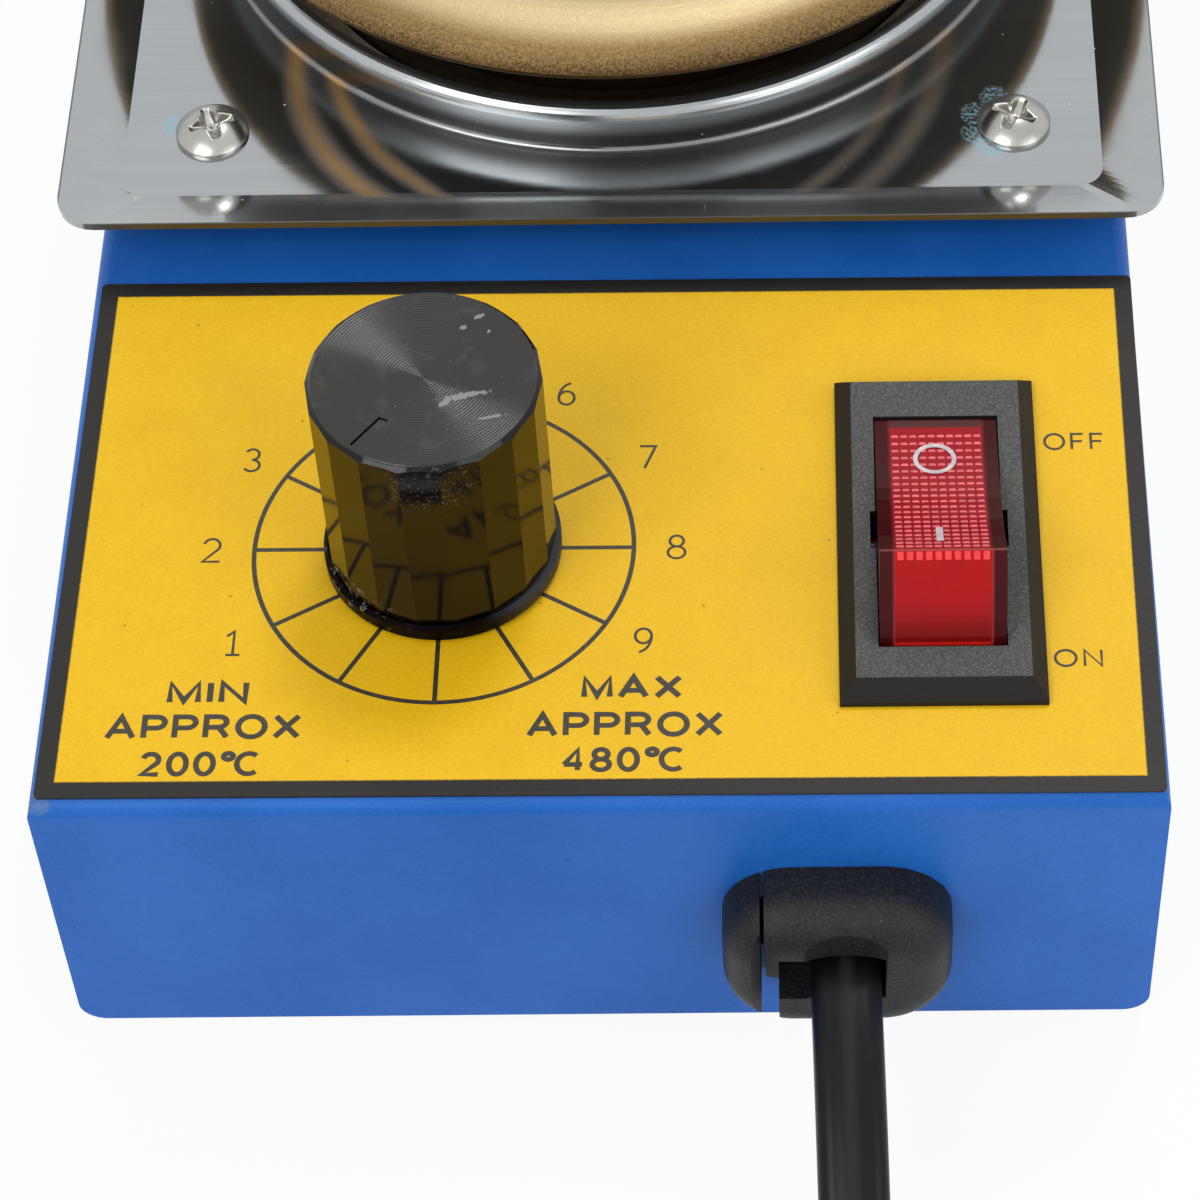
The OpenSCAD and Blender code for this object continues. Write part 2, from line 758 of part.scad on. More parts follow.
module control_washer() {
    color([0.75, 0.75, 0.74]) translate([knob_x, knob_y, label_z])
        ring(panel_nut_af / 2 + 1, bush_r + play, panel_washer_t);
}

module control_nut() {
    color([0.72, 0.72, 0.71]) translate([knob_x, knob_y, label_z + panel_washer_t])
        hex_nut(panel_nut_af, panel_nut_h, bush_r + play);
}

module control_can() {
    color([0.70, 0.70, 0.68]) translate([knob_x, knob_y, can_low]) difference() {
        cylinder(r = can_r, h = can_h);
        translate([0, 0, -past]) cylinder(r = can_r - can_t, h = can_h - can_t + past);
        cylinder(r = bush_r + play, h = can_h + past);
    }
}

module control_track() {
    color([0.50, 0.34, 0.20]) translate([knob_x, knob_y, can_low])
        cylinder(r = can_r - can_t - play, h = track_h);
}

module control_lugs() {
    color([0.80, 0.72, 0.50]) for (i = [-1:1])
        translate([knob_x + i * 4, knob_y - 5, can_low - lug_l / 2]) cube([1.4, 0.5, lug_l], center = true);
}

module circuit_board() {
    color([0.72, 0.58, 0.34]) translate([board_x, board_y, board_low]) linear_extrude(board_t)
        round_square(board_w, board_l, 1);
}

module triac() {
    color([0.08, 0.08, 0.09]) translate([triac_x - triac_w / 2, triac_y, sink_top]) {
        translate([0, -7.5, 0]) cube([triac_w, 9, triac_h]);
        translate([0, 1.5, 0]) cube([triac_w, 6, 1.3]);
    }
}

module heat_sink() {
    fins = 5;
    color([0.62, 0.64, 0.66])
        translate([triac_x - sink_w / 2, triac_y - sink_l / 2, sink_top - sink_base_t]) {
            cube([sink_w, sink_l, sink_base_t]);
            for (i = [0:fins - 1]) translate([i * (sink_w - fin_t) / (fins - 1), 0, -fin_h])
                cube([fin_t, sink_l, fin_h + sink_base_t / 3]);
        }
}

module capacitor() {
    h = 11;
    color([0.70, 0.20, 0.12]) translate([board_side, board_y + 2, board_low - h]) linear_extrude(h)
        round_square(6, 13, 0.8);
}

module resistors() {
    color([0.78, 0.68, 0.48]) for (i = [0:2])
        translate([board_side, board_y - 8 - 2.8 * i, board_low - 1.2]) rotate([0, 90, 0]) {
            cylinder(r = 1.2, h = 2.2, center = true);
            for (s = [-1, 1]) translate([0, 0, s * 1.9]) sphere(r = 1.2);
            cylinder(r = 1, h = 4, center = true);
        }
}

// One half of the bezel's chamfered form: a trapezium run along the other side
module chamfered(w, run) {
    rotate([90, 0, 0]) linear_extrude(run, center = true)
        polygon([
            [-w / 2, 0], [w / 2, 0], [w / 2, 0.5],
            [w / 2 - bezel_chamfer, bezel_h], [bezel_chamfer - w / 2, bezel_h], [-w / 2, 0.5]
        ]);
}

module switch_frame() {
    color([0.16, 0.17, 0.17]) difference() {
        union() {
            translate([switch_x, switch_y, label_z]) intersection() {
                chamfered(bezel_w, bezel_l);
                rotate(90) chamfered(bezel_l, bezel_w);
            }
            translate([switch_x, switch_y, (frame_low + label_z) / 2 + 0.1])
                cube([frame_w, frame_l, label_z - frame_low + 0.2], center = true);
            for (sy = [-1, 1]) translate([switch_x, switch_y + sy * frame_l / 2, under_z - 0.1])
                rotate([90, 0, 90]) linear_extrude(6, center = true)
                    polygon([for (p = [[-0.5, 0], [0.8, -0.6], [0, -5], [-0.5, -5]]) [sy * p[0], p[1]]]);
        }
        translate([switch_x, pivot_y, label_z + bezel_h]) cube([well_w, mouth_l, 12], center = true);
        translate([switch_x, pivot_y, (well_low + label_z + bezel_h - lip_t) / 2])
            cube([well_w, well_l, label_z + bezel_h - lip_t - well_low], center = true);
        translate([switch_x, pivot_y, pivot_z]) rotate([0, 90, 0])
            cylinder(r = pivot_pin_r + play, h = rocker_w + 2 * pivot_pin_l + 0.4, center = true);
        translate([switch_x, pivot_y, pivot_z + 3]) cube([well_w + 0.8, notch_l, 6], center = true);
        for (i = [-1:1]) translate([switch_x, pivot_y + i * tab_pitch, frame_low])
            cube([blade_w + 0.1, tab_t + 0.1, 16], center = true);
    }
}

// Side outline of the rocker about its pivot: two round ends and a hollow top
function rocker_top(r, sag) =
    let (half = r * sin(rocker_edge), z = r * cos(rocker_edge))
    [for (i = [-5:5]) let (s = i / 6) [-half * s, z - sag * (1 - s * s)]];
function rocker_outline(r, sag) = concat(
    arc([0, 0], r, -rocker_foot, 90 - rocker_edge, 8),
    rocker_top(r, sag),
    arc([0, 0], r, 90 + rocker_edge, 180 + rocker_foot, 8)
);

module rocker() {
    inner_r = rocker_r - rocker_wall;
    rib_y = lamp_l / 2 - 1.4;
    color([0.80, 0.10, 0.16, 0.8]) translate([switch_x, pivot_y, pivot_z]) rotate([-rocker_tilt, 0, 0]) {
        difference() {
            rotate([90, 0, 90]) linear_extrude(rocker_w, center = true)
                polygon(rocker_outline(rocker_r, rocker_sag));
            difference() {
                rotate([90, 0, 90]) linear_extrude(rocker_w - 2 * rocker_wall, center = true)
                    polygon(concat(
                        [for (p = rocker_outline(inner_r, rocker_sag)) p - [0, 0.2]],
                        [[-inner_r, -9], [inner_r, -9]]
                    ));
                for (s = [-1, 1]) translate([0, s * rib_y, 2]) cube([rocker_w, 0.8, 7], center = true);
            }
            translate([0, 0, lamp_lift]) rotate([90, 0, 0])
                cylinder(r = lamp_r + play, h = lamp_l + 1, center = true);
        }
        for (s = [-1, 1])
            translate([s * (rocker_w / 2 - 0.2 + (pivot_pin_l + 0.2) / 2), 0, 0]) rotate([0, 90, 0])
            cylinder(r = pivot_pin_r, h = pivot_pin_l + 0.2, center = true);
    }
}

module switch_lamp() {
    color([0.90, 0.75, 0.70, 0.6]) translate([switch_x, pivot_y, pivot_z]) rotate([-rocker_tilt, 0, 0])
        translate([0, 0, lamp_lift]) rotate([90, 0, 0]) {
            cylinder(r = lamp_r, h = lamp_l - 2 * lamp_r, center = true);
            for (s = [-1, 1]) translate([0, 0, s * (lamp_l / 2 - lamp_r)]) sphere(r = lamp_r);
        }
}

module switch_terminals() {
    color([0.80, 0.70, 0.42]) for (i = [-1:1])
        translate([switch_x - blade_w / 2, pivot_y + i * tab_pitch - tab_t / 2, tab_low])
            cube([blade_w, tab_t, well_low + 0.6 - tab_low]);
}

module terminal_block() {
    color([0.90, 0.89, 0.84]) difference() {
        translate([block_x, block_y, plate_z]) {
            linear_extrude(block_base_h) round_square(block_w, block_l, 0.6);
            for (i = [-1:1]) translate([i * pole_pitch, 0, 0]) linear_extrude(block_h)
                round_square(pole_w, block_l, 0.6);
        }
        for (i = [-1:1]) translate([block_x + i * pole_pitch, block_y, 0]) {
            translate([0, 0, block_hole_z]) rotate([90, 0, 0])
                cylinder(r = block_hole_r, h = block_l + 2 * past, center = true);
            for (s = [-1, 1]) translate([0, s * pole_screw_in, block_hole_z])
                cylinder(r = pole_screw_r + play, h = block_h);
        }
    }
}

module terminal_screws() {
    color([0.78, 0.72, 0.50]) for (i = [-1:1], s = [-1, 1])
        translate([block_x + i * pole_pitch, block_y + s * pole_screw_in, block_hole_z + block_hole_r - 0.4])
            cylinder(r = pole_screw_r, h = pole_screw_h);
}

// Two cores from the cord to the terminal block. Each row of a route: how far along, x, z.
module mains_leads() {
    from = front_y + core_in;
    to = block_y - block_l / 2 + 1;
    blue = [
        [0.028, slot_x - core_pitch / 2, core_z], [0.115, 14.4, 15.5], [0.243, 12.6, 14.2],
        [0.397, 11.4, 12.4], [0.576, 11.2, 10.8], [0.755, 11.8, 9.9],
        [0.909, 13.2, block_hole_z], [1, block_x - pole_pitch, block_hole_z]
    ];
    brown = [
        [0.028, slot_x + core_pitch / 2, core_z], [0.102, 17.4, 14.6], [0.218, 16, 12.4],
        [0.397, 15.2, 10.8],
        [0.602, 15.8, 9.8], [0.781, 18.6, 9.5], [0.909, 21.4, block_hole_z], [1, block_x, block_hole_z]
    ];
    color([0.35, 0.22, 0.16]) for (route = [blue, brown])
        tube(concat(
            [[route[0][1], from, core_z]],
            [for (q = route) [q[1], from + q[0] * (to - from), q[2]]]
        ), lead_section);
}

// Sleeved leads from the terminal block through the shield to the heater band
module heater_leads() {
    y = block_y + block_l / 2 - 1;
    r = cup_r + 1;
    wall_y = pot_y - shield_r;
    color([0.86, 0.84, 0.76]) for (s = [0, 1]) {
        x = 4 * (2 * s - 1);
        from = block_x - pole_pitch * (1 - s);
        over_y = pot_y - sqrt(r * r - x * x);
        tube([
            [from, y, block_hole_z], [from - 1, y + 3, block_hole_z],
            [(from + x) / 2 + 2, y + 4.6 - s, cup_z - 5],
            [x + 1.8, wall_y - 2.2, cup_z - 3.7], [x, wall_y, cup_z - 3], [x, wall_y + 2.2, cup_z - 2.6],
            [x, pot_y - r - 0.8, cup_z - 1.6], [x, over_y, cup_z - 0.2], [x, over_y, band_top - band_h]
        ], lead_section, [1, 1, 0]);
    }
}

// Lead from the circuit board, under the mains cores, to the terminal block
module control_leads() {
    x = board_x + board_w / 2 - 1.5;
    from = board_y + board_l / 2 - 4;
    y = block_y - block_l / 2;
    low = tab_low - 1.1;
    far_x = block_x + pole_pitch;
    color([0.75, 0.14, 0.12])
        tube([
            [x, from, board_low], [x, from, board_low - 2], [x + 0.8, y - 5.2, board_low - 4.4],
            [x + 3, y - 4.6, board_low - 8], [x + 7, y - 3.8, low + 0.8], [x + 13, y - 3.2, low],
            [x + 20, y - 3.2, low], [far_x - 2.4, y - 2.6, low + 1],
            [far_x - 0.3, y - 0.6, block_hole_z - 0.4],
            [far_x, y + 1, block_hole_z]
        ], lead_section, [0, 1, 0.3]);
}

// Half section of the head's edge, from the flap out to the round front edge
module relief_edge() {
    inner = relief_corner_r - relief_edge_r;
    straight = relief_out - relief_edge_r;
    square([relief_corner_r, straight]);
    square([inner, relief_out]);
    intersection() {
        translate([inner, straight]) circle(relief_edge_r);
        square([relief_corner_r, relief_out]);
    }
}

// The head's whole block against the flap, hollowed a little in front of the cord
module relief_block() {
    core_w = relief_w - 2 * relief_corner_r;
    core_h = relief_h - 2 * relief_corner_r;
    difference() {
        translate([relief_x, front_y, relief_z]) rotate([90, 0, 0]) {
            translate([-core_w / 2, -core_h / 2, 0]) cube([core_w, core_h, relief_out]);
            for (side = [0 : 3]) {
                along = side % 2 == 0 ? core_h : core_w;
                aside = side % 2 == 0 ? core_w : core_h;
                rotate([0, 0, 90 * side]) translate([aside / 2, along / 2, 0]) {
                    rotate([90, 0, 0]) linear_extrude(along) relief_edge();
                    rotate_extrude(angle = 90) relief_edge();
                }
            }
        }
        translate([slot_x, front_y - relief_out - hollow_r + hollow_deep, relief_z - relief_h])
            cylinder(r = hollow_r, h = 2 * relief_h);
    }
}

// What passes through the flap behind the head
module relief_neck() {
    play = 0.3;
    translate([relief_x, front_y, relief_z]) rotate([-90, 0, 0])
        linear_extrude(sheet_t + 1.6)
            round_square(relief_hole_w - play, relief_hole_h - play, relief_hole_h / 2 - play);
}

// The outside of a round corner as a cutter along Y, its square corner at the origin
module corner_cutter(r) {
    rotate([90, 0, 0]) linear_extrude(2 * relief_out, center = true) difference() {
        translate([-0.1, -0.1]) square(r + 0.1);
        translate([r, r]) circle(r);
    }
}

// The head's main part: hood, right cheek and sill round the cord, open to the wedge
module strain_relief_body() {
    depth = 2 * relief_out;
    from_y = front_y - depth;
    below = relief_z - relief_h;
    pocket = depth - 0.6;
    color([0.10, 0.10, 0.11]) difference() {
        union() {
            relief_block();
            relief_neck();
        }
        translate([slot_x - slot_w / 2, from_y, slot_low])
            cube([slot_w, depth + sheet_t + 4, slot_high - slot_low]);
        translate([wedge_x - 1, from_y, slot_low])
            cube([slot_x - wedge_x + 1, pocket, slot_high - slot_low]);
        translate([wedge_x - 12, from_y, below]) cube([12, depth + sheet_t + 4, 2 * relief_h]);
        translate([wedge_x - 1, from_y, below]) cube([1 + sill_back, pocket, slot_low - below + 1]);
        translate([wedge_x, front_y - relief_out - 0.6, slot_high]) corner_cutter(hood_corner_r);
        translate([wedge_x + sill_back, front_y - relief_out - 0.6, relief_z - relief_h / 2])
            corner_cutter(sill_corner_r);
    }
}

// The wedge that locks the cord, bevelled along the seam
module strain_relief_wedge() {
    split = wedge_x - 0.3;
    color([0.10, 0.10, 0.11]) difference() {
        union() {
            relief_block();
            relief_neck();
        }
        translate([split, front_y - 2 * relief_out, relief_z - relief_h])
            cube([relief_w, 4 * relief_out, 2 * relief_h]);
        translate([split, front_y - relief_out, relief_z]) rotate([0, 0, 45])
            cube([wedge_bevel, wedge_bevel, 2 * relief_h], center = true);
    }
}

module cord_run() {
    color([0.08, 0.09, 0.12]) tube(run_points, cord_section);
}

module cord_coil() {
    fillet = 1.4;
    mid = (coil_in_r + coil_out_r) / 2;
    color([0.08, 0.09, 0.12]) translate([coil_x, coil_y, 0]) rotate_extrude($fn = 96)
        translate([mid, coil_turns_high * cord_t / 2])
            round_square(coil_out_r - coil_in_r, coil_turns_high * cord_t, fillet);
}

module cord_tail() {
    color([0.08, 0.09, 0.12]) tube(tail_points, cord_section);
}

module plug_body() {
    nose = [8.4, 7];
    color([0.09, 0.10, 0.12]) translate([plug_x, plug_nose_y, plug_h / 2]) {
        hull() {
            translate([0, -1, 0]) cube([nose[0], 2, nose[1]], center = true);
            translate([0, -plug_nose_l, 0]) cube([nose[0] + 3, 2, nose[1] + 2], center = true);
        }
        hull() {
            translate([0, -plug_nose_l - 1, 0]) cube([nose[0] + 4, 2, plug_h - 1.4], center = true);
            translate([0, -plug_nose_l - 8, 0]) cube([plug_w, 1, plug_h], center = true);
            translate([0, -plug_nose_l - plug_l + 0.5, 0])
                cube([plug_w - 0.8, 1, plug_h - 0.6], center = true);
        }
    }
}

module plug_pins() {
    tip = plug_nose_y - plug_nose_l - plug_l - pin_l;
    color([0.80, 0.76, 0.60]) for (s = [-1, 1])
        translate([plug_x + s * pin_pitch / 2 - pin_t / 2, tip, plug_h / 2 - pin_w / 2]) difference() {
            cube([pin_t, pin_l, pin_w]);
            translate([-past, 3.5, pin_w / 2]) rotate([0, 90, 0])
                cylinder(r = 1.5, h = pin_t + 2 * past);
        }
}

housing();
bottom_plate();
foot_front_left();
foot_front_right();
foot_rear_left();
foot_rear_right();
base_screws();
label();
drip_tray();
tray_screws();
tray_spacers();
tray_nuts();
crucible();
heater_band();
band_screw();
insulation_wrap();
heat_shield();
insulation_disc();
pot_stud();
pot_washer();
pot_nut();
knob();
control_shaft();
control_rotor();
control_bush();
control_nut();
control_washer();
control_can();
control_track();
control_lugs();
circuit_board();
triac();
heat_sink();
capacitor();
resistors();
switch_frame();
rocker();
switch_lamp();
switch_terminals();
terminal_block();
terminal_screws();
mains_leads();
heater_leads();
control_leads();
strain_relief_body();
strain_relief_wedge();
cord_run();
cord_coil();
cord_tail();
plug_body();
plug_pins();
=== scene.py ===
"""Looks of a small solder pot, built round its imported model.

The frame brings every rigid part in its place. This script gives each of them
a finish and adds what the solids leave out: the printed label, the tray's
screw heads, the rocker's prisms and marks, the cord with its coil, tie and
plug, and a plain studio. Lengths are metres; X is right, Y back and Z up.
"""

import json
import logging
import math
from abc import ABC, abstractmethod
from collections.abc import Sequence
from dataclasses import dataclass
from enum import Enum
from functools import cache, reduce
from typing import Any, TypeAlias

import bmesh
import bpy
import numpy as np
from mathutils import Matrix, Vector


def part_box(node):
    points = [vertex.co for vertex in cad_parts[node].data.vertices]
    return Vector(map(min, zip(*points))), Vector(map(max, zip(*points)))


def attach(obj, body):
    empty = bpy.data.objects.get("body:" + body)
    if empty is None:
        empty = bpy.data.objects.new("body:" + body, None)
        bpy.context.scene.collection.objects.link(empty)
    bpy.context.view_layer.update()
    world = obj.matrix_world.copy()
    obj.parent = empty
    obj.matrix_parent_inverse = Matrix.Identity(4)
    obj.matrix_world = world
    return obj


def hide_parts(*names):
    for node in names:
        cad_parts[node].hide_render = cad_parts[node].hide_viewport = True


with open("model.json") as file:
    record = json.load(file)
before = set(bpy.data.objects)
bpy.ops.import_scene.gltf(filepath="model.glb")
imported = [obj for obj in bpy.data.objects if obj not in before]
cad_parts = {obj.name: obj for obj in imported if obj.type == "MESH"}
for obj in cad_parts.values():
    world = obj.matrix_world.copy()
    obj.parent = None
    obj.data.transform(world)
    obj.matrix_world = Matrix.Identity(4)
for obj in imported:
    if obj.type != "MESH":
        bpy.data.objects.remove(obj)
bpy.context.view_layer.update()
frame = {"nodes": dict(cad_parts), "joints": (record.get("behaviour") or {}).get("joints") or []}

LOG = logging.getLogger("solder_pot")
MM = 0.001

Colour: TypeAlias = tuple[float, float, float]
Point: TypeAlias = tuple[float, float, float]

NOWHERE: Point = (0.0, 0.0, -1.0)  # a place that no piece reaches


class Body(Enum):
    """The bodies that made pieces ride on."""

    ROOT = "root"
    ROCKER = "switch_rocker"


class Axis(Enum):
    """Directions that a shape turns about and a brushed grain runs in."""

    X = 0
    Y = 1
    Z = 2


def srgb(red: float, green: float, blue: float) -> Colour:
    """Linear colour of a display colour.

    A share v of full brightness goes to v / 12.92 up to 0.04045, and to ((v + 0.055) / 1.055)^2.4 above.

    Args:
        red: Red, from 0 to 255.
        green: Green, likewise.
        blue: Blue, likewise.

    Returns:
        The colour.
    """
    shares = (red / 255, green / 255, blue / 255)
    return tuple(v / 12.92 if v <= 0.04045 else ((v + 0.055) / 1.055) ** 2.4 for v in shares)


def point(values: Sequence[float]) -> Point:
    """Three numbers as plain floats."""
    return tuple(float(v) for v in values)


def middle(node: str) -> np.ndarray:
    """Centre of a solid's box."""
    low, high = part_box(node)
    return (np.array(low) + np.array(high)) / 2


def top(node: str) -> float:
    """Height of a solid's highest point."""
    return float(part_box(node)[1][2])


# ---------------------------------------------------------------- shader maths


class Wire:
    """A number, vector or colour in a shader. Arithmetic on a number adds Math nodes to its graph."""

    def __init__(self, graph: "Graph", socket: bpy.types.NodeSocket) -> None:
        """Wraps the output socket of a node in graph."""
        self.graph = graph
        self.socket = socket

    def __add__(self, other: "Number") -> "Wire":
        """Sum."""
        return self.graph.math("ADD", self, other)

    def __sub__(self, other: "Number") -> "Wire":
        """Difference."""
        return self.graph.math("SUBTRACT", self, other)

    def __rsub__(self, other: "Number") -> "Wire":
        """A number less this."""
        return self.graph.math("SUBTRACT", other, self)

    def __mul__(self, other: "Number") -> "Wire":
        """Product."""
        return self.graph.math("MULTIPLY", self, other)

    def __truediv__(self, other: "Number") -> "Wire":
        """Quotient."""
        return self.graph.math("DIVIDE", self, other)

    def __neg__(self) -> "Wire":
        """The same with the other sign."""
        return self.graph.math("MULTIPLY", self, -1.0)

    def __pow__(self, other: "Number") -> "Wire":
        """Power."""
        return self.graph.math("POWER", self, other)

    def __abs__(self) -> "Wire":
        """Size without sign."""
        return self.graph.math("ABSOLUTE", self)

    __radd__ = __add__
    __rmul__ = __mul__

    def highest(self, other: "Number") -> "Wire":
        """The greater of two numbers."""
        return self.graph.math("MAXIMUM", self, other)

    def lowest(self, other: "Number") -> "Wire":
        """The lesser of two numbers."""
        return self.graph.math("MINIMUM", self, other)

    def wave(self) -> "Wire":
        """Sine of this angle, raised to run from 0 to 1."""
        return self.graph.math("SINE", self) * 0.5 + 0.5

    def step(self, low: float, high: float) -> "Wire":
        """A smooth rise with this number.

        Args:
            low: Where it leaves 0.
            high: Where it reaches 1.

        Returns:
            The rise.
        """
        inputs = {"Value": self, "From Min": low, "From Max": high}
        return self.graph.wire("ShaderNodeMapRange", {"interpolation_type": "SMOOTHSTEP"}, inputs)

    def fall(self, low: float, high: float) -> "Wire":
        """1 up to low, then a smooth fall to 0 at high."""
        return 1 - self.step(low, high)

    def between(self, low: float, high: float, edge: float) -> "Wire":
        """1 between low and high, with smooth edges of that width inside them."""
        return self.step(low, low + edge) * self.fall(high - edge, high)


Number: TypeAlias = Wire | float


class Graph:
    """The node tree of a finish or of the surround."""

    def __init__(self, owner: bpy.types.Material | bpy.types.World) -> None:
        """Empties a node tree, to draw in it.

        Args:
            owner: The material or world that has the tree.
        """
        owner.use_nodes = True
        self.tree = owner.node_tree
        self.tree.nodes.clear()

    def add(
        self,
        kind: str,
        settings: dict[str, Any] | None = None,
        inputs: dict[str | int, Any] | None = None,
    ) -> bpy.types.Node:
        """Adds one node.

        Args:
            kind: The node's type.
            settings: Its own settings, set before its sockets.
            inputs: Its sockets by name or number, each a number, a colour, a vector or a Wire.

        Returns:
            The node.
        """
        node = self.tree.nodes.new(kind)
        for name, value in (settings or {}).items():
            setattr(node, name, value)
        for key, value in (inputs or {}).items():
            socket = node.inputs[key]
            if isinstance(value, Wire):
                self.tree.links.new(value.socket, socket)
            elif socket.type == "RGBA" and len(value) == 3:
                socket.default_value = (*value, 1.0)
            else:
                socket.default_value = value
        return node

    def wire(
        self,
        kind: str,
        settings: dict[str, Any] | None = None,
        inputs: dict[str | int, Any] | None = None,
        output: str | int = 0,
    ) -> Wire:
        """Adds one node, as add does, and takes up its output of that name or number."""
        return Wire(self, self.add(kind, settings, inputs).outputs[output])

    def math(self, operation: str, *values: Number) -> Wire:
        """One Math node."""
        return self.wire("ShaderNodeMath", {"operation": operation}, dict(enumerate(values)))

    def place(self) -> Wire:
        """The point in the piece's own coordinates."""
        return self.wire("ShaderNodeTexCoord", output="Object")

    def mapped(self, centre: Point = (0, 0, 0), turn: Point = (0, 0, 0), size: Point = (1, 1, 1)) -> Wire:
        """The point as another frame has it.

        Args:
            centre: Where the frame stands.
            turn: Its turn about each axis, in radians.
            size: Length of its unit along each axis.

        Returns:
            The vector.
        """
        inputs = {"Vector": self.place(), "Location": centre, "Rotation": turn, "Scale": size}
        return self.wire("ShaderNodeMapping", {"vector_type": "TEXTURE"}, inputs)

    def split(self, vector: Wire) -> tuple[Wire, Wire, Wire]:
        """The three parts of a vector."""
        parts = self.add("ShaderNodeSeparateXYZ", inputs={0: vector}).outputs
        return Wire(self, parts[0]), Wire(self, parts[1]), Wire(self, parts[2])

    def distance(self, vector: Wire) -> Wire:
        """Length of a vector."""
        return self.wire("ShaderNodeVectorMath", {"operation": "LENGTH"}, {0: vector}, "Value")

    def noise(
        self,
        size: float,
        detail: float = 2.0,
        rough: float = 0.5,
        stretch: Point = (1, 1, 1),
        warp: float = 0.0,
    ) -> Wire:
        """Soft random field round 0.5.

        Args:
            size: Width of its features, in metres.
            detail: Number of finer layers.
            rough: Weight of the finer layers.
            stretch: Factors that draw the features out along X, Y and Z.
            warp: Distortion.

        Returns:
            The field.
        """
        where = self.mapped(size=tuple(size * s for s in stretch))
        inputs = {"Vector": where, "Scale": 1.0, "Detail": detail, "Roughness": rough, "Distortion": warp}
        return self.wire("ShaderNodeTexNoise", inputs=inputs, output="Fac")

    def specks(self, size: float, radius: float, share: float) -> Wire:
        """Small round spots: 1 within radius of the middle of some of the cells.

        Args:
            size: Width of a cell, in metres.
            radius: A spot's radius as a share of the cell.
            share: The share of the cells that hold a spot.

        Returns:
            The mask.
        """
        inputs = {"Vector": self.mapped(size=(size, size, size)), "Scale": 1.0}
        cells = self.add("ShaderNodeTexVoronoi", inputs=inputs).outputs
        chance = self.split(Wire(self, cells["Color"]))[0]
        return Wire(self, cells["Distance"]).fall(radius * 0.6, radius) * chance.fall(share * 0.9, share)

    def spot(self, centre: Point, turn: float, size: Point, ragged: Number = 0.0) -> Wire:
        """A soft-edged ellipsoid.

        Args:
            centre: Its centre.
            turn: Its turn about Z, in radians.
            size: Its half sizes.
            ragged: Shift of its edge, as a share of the half sizes.

        Returns:
            1 inside it and 0 outside.
        """
        return (self.distance(self.mapped(centre, (0, 0, turn), size)) + ragged).fall(0.75, 1.0)

    def mix(self, factor: Number, first: Colour | Wire, second: Colour | Wire) -> Wire:
        """The colour at a factor of the way from the first to the second."""
        return self.wire("ShaderNodeMix", {"data_type": "RGBA"}, {0: factor, 6: first, 7: second}, 2)

    def bump(self, height: Wire, depth: float, strength: float = 1.0, under: Wire | None = None) -> Wire:
        """Normal of a relief.

        Args:
            height: The relief, from 0 to 1.
            depth: Its height in metres.
            strength: Weight of the relief.
            under: Normal of another relief that it lies on.

        Returns:
            The normal.
        """
        inputs = {"Height": height, "Distance": depth, "Strength": strength}
        if under is not None:
            inputs["Normal"] = under
        return self.wire("ShaderNodeBump", inputs=inputs)

    def surface(self, **sockets: Any) -> None:
        """Ends the tree in a Principled shader.

        Args:
            **sockets: Its sockets by name, in lower case and with _ for a space.
        """
        inputs = {}
        for name, value in sockets.items():
            inputs[name.replace("_", " ").title().replace("Ior", "IOR")] = value
        self.output(self.wire("ShaderNodeBsdfPrincipled", inputs=inputs))

    def output(self, shader: Wire, kind: str = "ShaderNodeOutputMaterial") -> None:
        """Joins a shader to the tree's output node."""
        self.add(kind, inputs={"Surface": shader})


# -------------------------------------------------------------------- finishes


@dataclass(frozen=True)
class Finish(ABC):
    """A surface finish. Equal finishes share one material."""

    name: str

    @abstractmethod
    def draw(self, g: Graph) -> None:
        """Draws the finish in an empty graph."""

    @cache
    def material(self) -> bpy.types.Material:
        """Gives the finish's material, drawn on first use.

        Returns:
            The material.
        """
        material = bpy.data.materials.new(self.name)
        self.draw(Graph(material))
        return material


@dataclass(frozen=True)
class PowderCoat(Finish):
    """Baked enamel on folded steel: fine grain, faint clouding and a few pits and chips."""

    pale: Colour = srgb(34, 104, 192)
    deep: Colour = srgb(16, 90, 176)
    pit: Colour = srgb(10, 50, 110)
    bare: Colour = srgb(92, 122, 160)
    grain: float = 0.22 * MM
    grain_deep: float = 0.03 * MM
    peel: float = 1.1 * MM
    peel_deep: float = 0.05 * MM
    cloud: float = 14 * MM
    pit_cell: float = 2.6 * MM
    chip: Point = NOWHERE
    chip_r: float = 1.1 * MM
    chip_ragged: float = 0.9 * MM
    rough: float = 0.38
    gloss: float = 0.28

    def draw(self, g: Graph) -> None:
        """Grain and peel in the relief, clouds in the colour, pits where specks fall.

        Args:
            g: The material's graph.
        """
        grain = g.noise(self.grain, 2, 0.6)
        cloud = g.noise(self.cloud, 3, 0.55)
        pits = g.specks(self.pit_cell, 0.08, 0.16)
        ragged = (g.noise(0.5 * MM) - 0.5) * self.chip_ragged
        chip = (g.distance(g.mapped(self.chip)) + ragged).fall(self.chip_r * 0.7, self.chip_r)
        colour = g.mix(cloud.step(0.35, 0.65) * 0.5 + grain.step(0.3, 0.7) * 0.5, self.deep, self.pale)
        colour = g.mix(pits * 0.45, colour, self.pit)
        colour = g.mix(chip * 0.6, colour, self.bare)
        relief = g.bump(g.noise(self.peel, 1), self.peel_deep, 0.35)
        relief = g.bump(grain - pits * 0.8 - chip * 2, self.grain_deep, 0.6, relief)
        rough = self.rough + grain * 0.16 + chip * 0.2
        g.surface(base_color=colour, roughness=rough, specular_ior_level=self.gloss, normal=relief)


